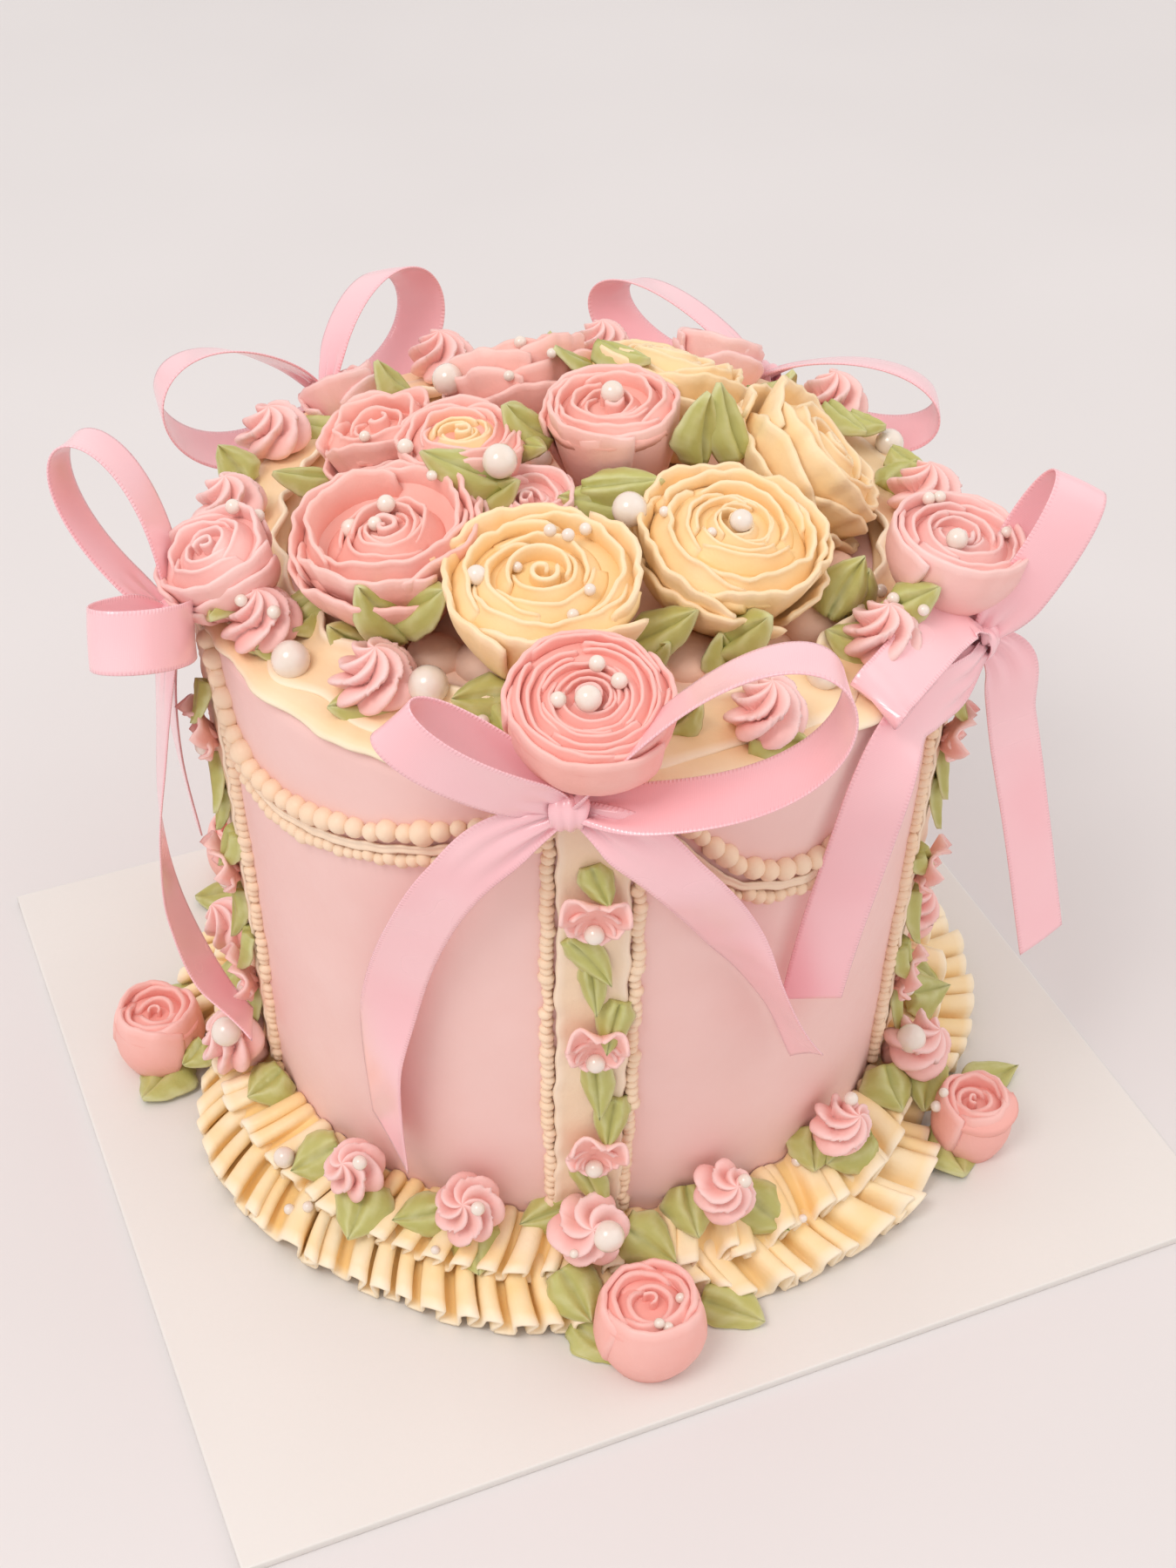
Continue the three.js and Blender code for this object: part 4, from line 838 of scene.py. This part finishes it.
def petal(heap, put, rng, a0, span, r0, r1, foot, zf, zr, full, flare, wave, corner, thick, tone_and_shade, slot=0, point=0.0):
    """One petal; full is where an outer wall reaches its rim radius, or None for an inner petal that leans in from its foot."""
    fine = max(11, int(span * max(r0, 2.5) / 0.8))
    nu, nv = max(10, int(fine * 0.78)), 9
    s, t = np.linspace(0, 1, nu)[:, None], np.linspace(0, 1, nv)[None] ** 0.8
    arc = span * max(r0, 3) / 9.0
    rim = r0 + (r1 - r0) * s
    frays = 0.13 * np.convolve(rng.standard_normal(fine + 2), [0.25, 0.5, 0.25], "valid")
    frays = np.interp(s[:, 0], np.linspace(0, 1, fine), frays)[:, None]
    top = zr - 1.15 * corner * np.abs(2 * s - 1) ** 2.6 + 0.5 * wave * wobble(rng, s, 0.8 * arc) + frays
    z = zf + (top - zf) * t
    if full:
        r = foot + (rim - foot) * np.sin(0.5 * np.pi * np.clip(t / full, 0, 1)) ** 0.95
    else:
        r = rim + foot * (1 - t) ** 1.3
    r = r + flare * t**4 + 0.75 * wave * t**2 * wobble(rng, s, 1.0 * arc) + 0.9 * frays * t**5 + point * smooth(0.8, 1.0, s) * t**2
    th = a0 + span * (0.5 + (s - 0.5) * (1 - (0.3 if full else 0.0) * (1 - t) ** 1.5)) + 0.02 * wobble(rng, s, 2) * t
    P = np.stack([r * np.cos(th), r * np.sin(th), np.broadcast_to(z, r.shape)], -1)
    # painted highlight on the rim and the ends, painted shade growing towards the petal's foot on top of its random
    # tone, which is stronger in inner rings
    end_highlight = smooth(0.04, 0.0, np.minimum(s, 1 - s)) * 0.35
    painted_highlight = np.maximum(smooth(0.9, 1.0, t) * 0.3, end_highlight * smooth(0.3, 1, t))
    foot_shade = np.clip(tone_and_shade + 0.55 * (1 - t) ** 1.4, 0, 1)
    shell(heap, put(P), thick * (1.25 - 0.7 * t) if full else thick * (0.5 + 1.5 * (1 - t) ** 1.1), painted_highlight=painted_highlight, slot=slot)
    heap.T[-1] = _shell_tone(np.broadcast_to(foot_shade, (nu, nv)), nu, nv)


def _shell_tone(d, nu, nv):
    ij = np.array([(i, 0) for i in range(nu)] + [(nu - 1, j) for j in range(1, nv)] + [(i, nv - 1) for i in range(nu - 2, -1, -1)] + [(0, j) for j in range(nv - 2, 0, -1)])
    return np.concatenate([d.ravel(), d.ravel(), d[ij[:, 0], ij[:, 1]]])


def rose(heap, put, R, h, style, seed, centre_slot=0):
    rng = np.random.default_rng(seed)
    turns, r_in, rings = STYLES[style]
    kb, full = WALLS.get(style, (0.48, 1.0))
    lean = 0.42
    inner = [ring for ring in rings if ring[0] < 0.9]
    outer = rings[len(inner)]
    # floors of the grooves: inside the first ring, then between one ring and the next
    floors = [rings[0][2] * h - 2.4] + [min(a[2], b[2]) * h - 0.82 * a[3] for a, b in zip(inner, inner[1:] + [outer])]
    # the icing inside, which closes the gaps between the petals, painted well towards the deep colour as shade in the
    # gaps
    prof = [(0.3 * R, 0.0), (kb * R - 0.4, 0.0)]
    wall_r = lambda z: kb * R + (outer[0] * R - kb * R) * math.sin(0.5 * math.pi * min(1, (z / (outer[2] * h)) / full)) ** 0.95 - 0.5
    for z in np.linspace(0.15, 0.999, 6) * floors[-1]:
        prof.append((wall_r(z), z))
    for a, b, z in list(zip(inner, inner[1:] + [outer], floors[1:]))[::-1]:
        prof += [((0.2 * a[0] + 0.8 * b[0]) * R, z + 0.3), ((0.7 * a[0] + 0.3 * b[0]) * R, z)]
    prof += [(0.6 * rings[0][0] * R, floors[0]), (0.1 * R, floors[0] - 0.1)]
    skin(heap, lathe(prof, 36, put), tone_and_shade=0.6)
    n = int(34 * turns)
    s, t = np.linspace(0, 1, n)[:, None], np.linspace(0, 1, 7)[None]
    th = rng.random() * 6.28 + 2 * np.pi * turns * s
    r = (0.035 + r_in * s**0.8) * R * (1 + 0.14 * wobble(rng, s, 2.0 * turns))
    low, high = floors[0] - 0.8, rings[0][2] * h + 0.2
    z = low + (high - low - 0.8 * smooth(0.15, 0, s)) * t + 0.25 * wobble(rng, s, 2 * turns) * t
    P = np.stack([r * np.cos(th) + 0 * t, r * np.sin(th) + 0 * t, z], -1)
    # painted highlight along the top of the wound centre, light painted shade over the whole spiral
    shell(heap, put(P), (1.1 if R < 14 else 1.4) - 0.4 * t, painted_highlight=smooth(0.8, 1, t) * 0.5 + 0 * s, tone_and_shade=0.2, slot=centre_slot)
    starts, points = ENDS.get(style, (None, None))
    for k, (rad, count, high, deep, wave, corner, thick, flare, over) in enumerate(rings):
        start = rng.random() * 6.28
        outermost = k >= len(inner)
        shift = np.append(rng.standard_normal(2), 0) * (0.0 if outermost else 0.03 * R)
        for j in range(count):
            span = 2 * np.pi / count * over * (1 + 0.09 * rng.standard_normal() * (count > 2))
            mid = rad * R * (1 + 0.02 * rng.standard_normal())
            tuck = min(0.05 * R, 0.4 * thick + 0.25)
            a0 = start + 2 * np.pi * (j + 0.1 * rng.standard_normal()) / count
            if k == len(inner) and starts:
                a0 = starts[j] * DEG
            foot, zf = (kb * R, 0.02 * h) if outermost else (lean * deep, min(floors[k], floors[k + 1]) - 0.8)
            slot = centre_slot if (style == "stamen" and k < 2) else 0
            petal(heap, lambda q, d=shift: put(q + d), rng, a0, span, mid - tuck, mid + tuck, foot, zf, h * high * (1 + 0.016 * rng.standard_normal()), full if outermost else None, flare, wave, corner, thick, 0.25 * rng.random() * (1 - 0.5 * rad), slot, points[j] if k == len(inner) and points else 0.0)


def rose_put(r, az, z, tilt, h):
    base = at(r, az, z) - h * (outward(az) * math.sin(tilt * DEG) + np.array([0, 0, math.cos(tilt * DEG)]))
    return standing(base, az, tilt)


def roses():
    made = []
    seed = 300
    for key, (r, az, z, tilt, R, h, style) in RIM_ROSES.items():
        heap = Heap()
        rose(heap, rose_put(r, az, z, tilt, h), R, h, style, seed := seed + 1)
        o = heap.make("rose_rim_" + key, PALE_PINK if key == "front" else SOFT_PINK)
        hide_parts("rim_rose_" + key)
        made.append(o)
    for key, (r, az, z, tilt, R, h, style) in TOP_ROSES.items():
        heap = Heap()
        rose(heap, rose_put(r, az, z, tilt, h), R, h, style, seed := seed + 1, centre_slot=1 if style == "stamen" else 0)
        cream = key in CREAM_ROSES
        o = heap.make("rose_top_" + key, CREAM if cream else PINK, *((CREAM,) if style == "stamen" else ()))
        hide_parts("top_rose_" + key)
        made.append(o)
    # petals of a small rose that shows low between the others, which the bed carries
    heap = Heap()
    rose(heap, rose_put(23.2, -32.7, 180, 10, 16), 9.6, 16, "frilled", 340)
    o = heap.make("rose_top_low", SOFT_PINK)
    made.append(o)
    for key, (r, az, R, h) in FOOT_ROSE.items():
        heap = Heap()
        rose(heap, standing(at(r, az, GAP), az, 0), R, h, "cup", seed := seed + 1)
        o = heap.make("rose_foot_" + key, PALE_PINK)
        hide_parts("foot_rose_" + key)
        made.append(o)
    return made


# ---------------------------------------------------------------- rosettes
def rosette(heap, put, R, h, seed, foot=0.0):
    rng = np.random.default_rng(seed)
    lobes = int(rng.integers(6, 8))
    twist = 2.0 + 0.6 * rng.random()
    m, rows = lobes * 13, 30
    th = np.linspace(0, 2 * np.pi, m, endpoint=False)
    each, lift = 1 + 0.11 * rng.standard_normal(lobes), 0.06 * rng.standard_normal(lobes)
    frill = 0.035 * rng.standard_normal(m)
    key = [0, 0.08, 0.2, 0.33, 0.43, 0.51, 0.6, 0.7, 0.8, 0.9, 1.0]
    P, E, T = [], [], []
    for t in np.linspace(0, 1, rows):
        prof = np.interp(t, key, [0.6, 0.84, 1.0, 1.02, 0.95, 0.84, 0.79, 0.71, 0.55, 0.32, 0.05])
        high = np.interp(t, key, [0, 0.05, 0.18, 0.36, 0.5, 0.58, 0.66, 0.76, 0.85, 0.93, 1.0])
        deep = np.interp(t, key, [0.1, 0.22, 0.34, 0.42, 0.46, 0.48, 0.5, 0.52, 0.52, 0.45, 0.2])
        u = ((th - twist * t**1.3) * lobes / (2 * np.pi)) % lobes
        k = np.floor(u).astype(int) % lobes
        ridge = np.sin(np.pi * (u % 1.0) ** 1.6) ** 0.8
        r = R * prof * (1 - deep + deep * ridge * each[k] + frill * math.exp(-(((t - 0.58) / 0.12) ** 2)))
        z = h * (high - 0.24 * math.exp(-(((t - 0.64) / 0.2) ** 2)) * (1 - ridge) + lift[k] * ridge * math.exp(-(((t - 0.6) / 0.25) ** 2)))
        P.append(np.stack([r * np.cos(th) + 0.07 * R * t * t, r * np.sin(th) + 0.05 * R * t * t, z], -1))
        # painted highlight on the tops of the ridges, painted shade in the valleys between them
        E.append(0.6 * ridge**5 * np.interp(t, [0, 0.3, 0.6, 1], [0.1, 0.4, 1.0, 0.8]))
        T.append(0.7 * (1 - ridge) ** 1.5)
    if foot:
        first = P[0]
        P = [np.stack([q * first[:, 0], q * first[:, 1], np.full(m, z * h)], -1) for q, z in ((0.62, -foot), (0.78, -0.6 * foot), (0.9, -0.25 * foot))] + P
        E, T = [E[0]] * 3 + E, [T[0]] * 3 + T
    skin(heap, put(np.array(P)), painted_highlight=np.array(E))
    t = np.array(T)
    heap.T[-1] = np.concatenate([t.ravel(), [0, 0]])


def rosettes():
    made = []
    todo = [("rosette_rim_%d" % (i + 1), "rim_rosette_%d" % (i + 1), row) for i, row in enumerate(RIM_ROSETTES)]
    todo += [("rosette_low_%d" % (i + 1), "low_rosette_%d" % (i + 1), row) for i, row in enumerate(LOW_ROSETTES)]
    r, z, tilt, R, h = FOOT_ROSETTE
    todo += [("rosette_foot_" + k, "foot_rosette_" + k, (r, az, z, tilt, R, h)) for k, az in FOOT_AZ.items()]
    for n, (name, node, (r, az, z, tilt, R, h)) in enumerate(todo):
        heap = Heap()
        rosette(heap, standing(at(r, az, z), az, tilt), R, h, 500 + n, 0.0 if z > 100 else 0.4)
        o = heap.make(name, ROSETTE)
        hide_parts(node)
        made.append(o)
    return made


# ---------------------------------------------------------------- leaves and column flowers
def leaf(heap, base, tip, normal, width, rng, thick=2.6, curl=0.1):
    X = tip - base
    L = np.linalg.norm(X)
    X = X / L
    Z = unit(normal - X * (normal @ X))
    Y = np.cross(Z, X)
    nu, nv = 15, 13
    u, v = np.linspace(0, 1, nu)[:, None], np.linspace(-1, 1, nv)[None]
    w = 0.5 * width * (0.62 + 0.38 * smooth(0, 0.3, u)) * (1 - np.clip((u - 0.3) / 0.7, 0, 1) ** 1.9) ** 0.95
    w = w * (1 + 0.07 * wobble(rng, u, 2.5)) + 0.1
    T = thick * (1 - 0.6 * u)
    a = np.abs(v)
    hump = (1 - a**3) * (0.45 + 0.55 * np.sin(np.pi * np.clip(0.1 + 0.85 * a, 0, 1)) ** 0.8) - 0.42 * np.exp(-((v / 0.1) ** 2)) * smooth(0, 0.12, u)
    rib = 0.08 * np.cos(2 * np.pi * (1.4 * a + 0.7 * u + rng.random())) * (1 - a**4) + 0.03 * np.cos(2 * np.pi * (3.2 * u + 1.2 * a))
    lift = curl * L * (u - 0.25) ** 2 * np.sign(u - 0.25) - 0.22 * w * v**2 * (1 + 0.3 * wobble(rng, u, 2))
    top = T * (hump + rib) * (1 + 0.1 * np.sign(v) * rng.standard_normal()) + lift
    low = -0.3 * T + lift
    bend = 0.05 * L * rng.standard_normal() * u**2
    Q = base + X * (u * L)[..., None] + Y * (v * w + bend)[..., None]
    P1 = Q + Z * np.maximum(top, low + 0.25)[..., None]
    P0 = Q + Z * np.broadcast_to(low, top.shape)[..., None]
    P1[..., 2], P0[..., 2] = np.maximum(P1[..., 2], BOARD[2] + 0.5), np.maximum(P0[..., 2], BOARD[2] + 0.15)
    n = nu * nv
    F = quads(nu, nv)
    ij = [(i, 0) for i in range(nu)] + [(nu - 1, j) for j in range(1, nv)] + [(i, nv - 1) for i in range(nu - 2, -1, -1)] + [(0, j) for j in range(nv - 2, 0, -1)]
    a_ = np.array([i * nv + j for i, j in ij])
    b_ = np.roll(a_, -1)
    faces = np.concatenate([F, F[:, ::-1] + n, np.stack([a_, a_ + n, b_ + n, b_], -1)])
    # painted highlight on the margins, the tip and the raised ribs; painted shade down the midrib crease, lighter on
    # the ribs, plus random tone
    painted_highlight = np.maximum(smooth(0.8, 1.0, a) + 0 * u, smooth(0.86, 1.0, u) + 0 * v) * 0.55 + 0.3 * np.clip(rib / 0.08, 0, 1)
    tone_and_shade = np.clip(0.55 * np.exp(-((v / 0.11) ** 2)) + 0.25 * rng.random() + 0 * u - 0.15 * rib / 0.08 * (a > 0.12), 0, 1)
    heap.add(np.concatenate([P1.reshape(-1, 3), P0.reshape(-1, 3)]), faces, np.concatenate([painted_highlight.ravel(), painted_highlight.ravel()]), np.concatenate([tone_and_shade.ravel(), tone_and_shade.ravel()]))


# up a column: leaves (azimuth, height, azimuth, height, width, lift) and flowers (azimuth, height)
COLUMN_LEAVES = [(-0.6, 134.5, 1.4, 126, 7.6, 4), (-3.4, 113.5, 3.0, 102.5, 8, 2.5), (-0.4, 106, 0.7, 92, 6.5, 2), (4.0, 93.5, 1.6, 80.5, 8.6, 3), (0.6, 74.5, 1.4, 58, 8, 2.5), (3.8, 61.5, 2.4, 47.5, 8.6, 3), (-1.4, 39.5, 2.4, 24, 8.4, 3)]
COLUMN_FLOWERS = [(0.0, 119.6), (0.6, 78.9), (0.8, 42)]


def leaves(carriers, frill):
    rng = np.random.default_rng(91)
    h = Heap()
    dg = bpy.context.evaluated_depsgraph_get()
    above, below = [BVHTree.FromObject(o, dg) for o in carriers], [BVHTree.FromObject(frill, dg)]

    def sunk(p, trees):
        """How far p lies behind what the camera sees in front of it."""
        d = p - EYE
        far = np.linalg.norm(d)
        first = min((hit[3] / MM for hit in (t.ray_cast(Vector(EYE * MM), Vector(d / far)) for t in trees) if hit[0] is not None), default=far)
        return far - first

    for k, (rb, ab, zb, rt, a_t, zt, w) in enumerate(TOP_LEAVES + LOW_LEAVES):
        b, t = at(rb, ab, zb), at(rt, a_t, zt)
        d = unit(t - b)
        b, t = b - d * 2.2, t + d * 1.2
        deep = max(sunk(b + (t - b) * q, above if k < len(TOP_LEAVES) else below) for q in (0.6, 1.0))
        if 0 < deep < 15:
            move = -unit(t - EYE) * (deep + 0.6)
            b, t = b + 0.75 * move, t + move
        lift = min(b[2], t[2]) - (BOARD[2] + 1.3)
        if zb < 50 and rb > 103 and lift > 0:
            slide = unit(t - EYE)
            b, t = b + slide * lift / -slide[2], t + slide * lift / -slide[2]
        up = np.array([0, 0, 0.7]) + (0.6 if zb < 50 else 0.4) * outward(a_t) - 0.5 * fwd
        leaf(h, b, t, up, w * 1.4, rng, 3.0)
    for k, az in enumerate(COLUMNS.values()):
        flip = -1 if k % 2 else 1
        for a0, z0, a1, z1, w, lift in COLUMN_LEAVES:
            j = 0 if k == 0 else 1
            z0, z1 = z0 + j * 1.5 * rng.standard_normal(), z1 + j * 1.5 * rng.standard_normal()
            b, t = at(wall(z0) + 2.2, az + flip * a0, z0), at(wall(z1) + 2.2 + lift, az + flip * a1, z1)
            leaf(h, b, t, outward(az) + 0.1 * along(az) * rng.standard_normal(), w, rng, 2.2)
    o = h.make("piped_leaves", LEAF)
    return o


def flowers():
    rng = np.random.default_rng(64)
    h = Heap()
    spots = []
    for k, az in enumerate(COLUMNS.values()):
        flip = -1 if k % 2 else 1
        for a, z in COLUMN_FLOWERS:
            a, c = az + flip * a, at(wall(z) + 1.9, az + flip * a, z)
            O, U, S = outward(a), np.array([0, 0, 1.0]), along(a)
            spots.append((c - U * 2.6 + O * 3.0, O))
            for turn_, size in ((-30, 10.4), (34, 9.8), (-82, 6.8), (84, 6.6), (-128, 5.4), (132, 5.6), (180, 4.4)):
                q = (turn_ + 8 * rng.standard_normal()) * DEG
                d, e = U * math.cos(q) + S * math.sin(q), S * math.cos(q) - U * math.sin(q)
                nu, nv = 11, 7
                u, t = np.linspace(-1, 1, nu)[:, None], np.linspace(0, 1, nv)[None]
                half = size * 0.44 * (0.25 + 0.75 * np.sin(np.pi * np.clip(0.12 + 0.66 * t, 0, 1)) ** 0.9)
                reach = size * 0.95 * t * (1 - 0.22 * u**2 * t)
                rise = 0.4 + size * (0.34 * t**0.8 + 0.3 * u**2 * t) + 0.4 * t**2 * wobble(rng, (u + 1) / 2, 1.6)
                P = c + e * (u * half)[..., None] + d * reach[..., None] + O * np.broadcast_to(rise, reach.shape)[..., None]
                # painted highlight at the tips and sides of each petal; the tone is random
                shell(h, P[::-1], 1.2 * (1.2 - 0.45 * t), painted_highlight=np.maximum(smooth(0.78, 1, t), smooth(0.85, 1, np.abs(u)) * t) * 0.7, tone_and_shade=0.2 + 0.2 * rng.random(), slot=0)
    o = h.make("column_flowers", PALE_PINK)
    return o, spots


# ---------------------------------------------------------------- ribbon bows
def ribbon(heap, C, W, width, gather, rng, thick=0.45, cut=0.0, m=13):
    """A ribbon along C with width direction W; gather 0..1 pleats it where it goes into the knot, cut slants its end."""
    n = len(C)
    T = unit(np.gradient(C, axis=0))
    W = unit(W - T * (W * T).sum(1, keepdims=True))
    N = np.cross(T, W)
    v = np.linspace(-1, 1, m)
    s = np.concatenate([[0], np.cumsum(np.linalg.norm(np.diff(C, axis=0), axis=1))])
    ph = rng.random() * 6.28
    fold = gather[:, None] * (0.95 * np.sin(2 * np.pi * 1.3 * v[None] + ph) + 0.4 * np.cos(2 * np.pi * 0.6 * v[None] + ph))
    cup = 0.3 * (1 - gather)[:, None] * (v[None] ** 2 - 0.4) * np.sin(s / 17 + ph)[:, None]
    P = C[:, None] + W[:, None] * (0.5 * width[:, None] * v[None])[..., None] + N[:, None] * (fold + cup)[..., None]
    S = np.broadcast_to(s[:, None], (n, m))
    if cut:
        Q, S = P.copy(), np.empty((n, m))
        for j in range(m):
            S[:, j] = s * (1 - abs(cut) * (1 + math.copysign(1, cut) * v[j]) / 2 / s[-1])
            for c in range(3):
                P[:, j, c] = np.interp(S[:, j], s, Q[:, j, c])
    shell(heap, P, thick, uv=np.stack([S, np.broadcast_to(v[None], (n, m))], -1))
    return s[-1] - abs(cut) / 2


def bow(name, az, rise, loops, tails, bands, seed):
    rng = np.random.default_rng(seed)
    heap = Heap()
    o, ux, wx, up = at(KNOT[0], az, KNOT[1] + rise), along(az), outward(az), np.array([0, 0, 1.0])
    turn_to = lambda p: p[..., :1] * ux + p[..., 1:2] * up + p[..., 2:3] * wx
    total = 0.0
    for tip, e, cone, pinch in loops:
        tip, e = np.array(tip, float), np.array(e, float)
        s = np.linspace(0.03, 0.97, 96)
        A = (1 - np.cos(2 * np.pi * s)) / 2
        top = max(math.sin(2 * np.pi * q) * ((1 - math.cos(2 * np.pi * q)) / 2) ** pinch for q in (0.25, 0.3, 0.35))
        B = np.sin(2 * np.pi * s) * A**pinch / top
        C = A[:, None] * tip + B[:, None] * e + np.array([0, 0, 3.0])
        Nn = unit(np.cross(tip, e))
        out = np.cross(unit(np.gradient(C, axis=0)), Nn)
        W = Nn * math.cos(cone * DEG) + out * math.sin(cone * DEG)
        g = np.minimum(s, 1 - s)
        width = RIBBON * (0.3 + 0.7 * smooth(0, 0.18, g))
        total += ribbon(heap, turn_to(C) + o, turn_to(W), width, smooth(0.2, 0.03, g), rng)
    for rows, cut in tails:
        Q = spline(rows, 84)
        C, roll, width = Q[:, :3], Q[:, 3] * DEG, Q[:, 4]
        T = unit(np.gradient(C, axis=0))
        side = unit(np.cross([0, 0, 1.0], T))
        W = side * np.cos(roll)[:, None] + np.cross(T, side) * np.sin(roll)[:, None]
        s = np.linspace(0, 1, 84)
        total += ribbon(heap, turn_to(C) + o, turn_to(W), width, smooth(0.22, 0.0, s), rng, cut=cut)
    for rows, W in bands:
        Q = spline(rows, 120)
        s = np.linspace(0, 1, 120)
        total += ribbon(heap, turn_to(Q[:, :3]) + o, turn_to(np.repeat(np.array(W)[None], 120, 0)), Q[:, 3], smooth(0.1, 0.0, np.minimum(s, 1 - s)), rng)
    # the wrap of the knot
    th = np.linspace(0, 2 * np.pi, 48, endpoint=False)
    v = np.linspace(-1, 1, 15)
    rv = 4.4 - 0.7 * v[None] ** 2 + 0.3 * np.sin(9 * v[None] + 1.5 * np.sin(th)[:, None]) + 0.2 * np.sin(3 * th)[:, None]
    K = np.stack([(3.5 + 0.4 * np.sin(2 * th))[:, None] * v[None] + 0.4 * np.sin(th)[:, None], rv * np.sin(th)[:, None], 3.6 + 0.72 * rv * np.cos(th)[:, None]], -1)
    uv = np.stack([np.broadcast_to((th * 4.0)[:, None], (48, 15)), np.broadcast_to(0.8 * v[None], (48, 15))], -1)
    shell(heap, turn_to(K) + o, 0.5, closed=True, uv=uv)
    total += 24
    ob = heap.make("bow_ribbon_" + name, SATIN, uv=True)
    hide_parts("bow_" + name)
    return ob


# ---------------------------------------------------------------- pearls, set where the photograph shows them
# picture x, picture y, diameter
PEARLS = [
    (335, 765, 8.4), (495, 788, 8.6), (943, 778, 8.0), (727, 592, 7.6), (570, 528, 7.6), (520, 440, 7.4), (1020, 515, 7.0), (622, 532, 5.2),
    (703, 453, 5.2), (399, 607, 4.4), (445, 578, 4.0), (428, 601, 3.2), (676, 803, 5.4), (686, 762, 3.4), (713, 783, 3.4), (643, 806, 3.4),
    (550, 664, 4.4), (631, 612, 2.8), (653, 616, 2.8), (674, 607, 2.8), (591, 651, 2.4), (675, 678, 2.6), (657, 707, 2.6),
    (852, 600, 5.0), (765, 589, 2.4), (818, 612, 2.2), (1098, 622, 4.8), (1078, 570, 2.8), (1064, 572, 3.0), (1158, 612, 2.6), (468, 515, 3.6), (420, 502, 2.6),
    (1009, 680, 3.0), (1026, 688, 2.8), (1060, 700, 2.6), (270, 581, 3.4), (298, 594, 3.0), (276, 688, 2.8), (316, 704, 3.0), (555, 830, 3.0), (645, 745, 0.0),
    (697, 1415, 7.6), (263, 1183, 7.6), (1050, 1190, 7.6), (326, 1329, 5.4), (412, 1338, 3.6), (547, 1390, 3.4), (852, 1356, 3.4), (975, 1264, 3.6),
    (334, 1390, 2.8), (354, 1387, 2.8), (1084, 1256, 2.6), (1077, 1271, 3.0), (915, 1334, 2.8), (757, 1520, 2.6), (766, 1524, 2.6), (784, 1491, 2.6), (500, 1436, 2.2), (660, 1440, 2.2), (920, 1400, 2.2),
    (597, 395, 3.0), (635, 404, 2.4), (497, 545, 2.4), (583, 372, 3.0), (610, 371, 4.6), (586, 432, 2.6),
]


def pearls(carriers, spots):
    dg = bpy.context.evaluated_depsgraph_get()
    trees = [BVHTree.FromObject(o, dg) for o in carriers]
    C, R = [], []
    for u, v, d in PEARLS:
        if d <= 0:
            continue
        direction = Vector(ray(u, v))
        best = None
        for tree in trees:
            hit, normal, _, far = tree.ray_cast(Vector(EYE * MM), direction)
            if hit is not None and (best is None or far < best[2]):
                best = (hit, normal, far)
        if best is None:
            continue
        n = np.array(best[1])
        if n @ np.array(direction) > 0:
            n = -n
        n = unit(n + np.array([0, 0, 0.5]))
        C.append(np.array(best[0]) / MM + n * d * 0.22)
        R.append(d / 2)
    for p, n in spots:
        C.append(p)
        R.append(2.2)
    h = Heap()
    R = np.array(R)
    balls(h, C, np.eye(3)[None] * R[:, None, None], 18, 11)
    return h.make("sugar_pearls", PEARL)


# ---------------------------------------------------------------- build
board()
body()
border()
bed()
ruffle()
strips()
beads()
blossoms = roses()
made = blossoms + rosettes()
green = leaves(blossoms + [bpy.data.objects["rim_border"]], bpy.data.objects["foot_ruffle"])
blooms, spots = flowers()
for k, (name, spec) in enumerate(BOWS.items()):
    bow(name, *spec, seed=700 + k)
solid = [bpy.data.objects[n] for n in ("cake_board", "cake_icing", "rim_border", "rose_bed_icing", "foot_ruffle")]
pearls(made + solid + [green], spots)
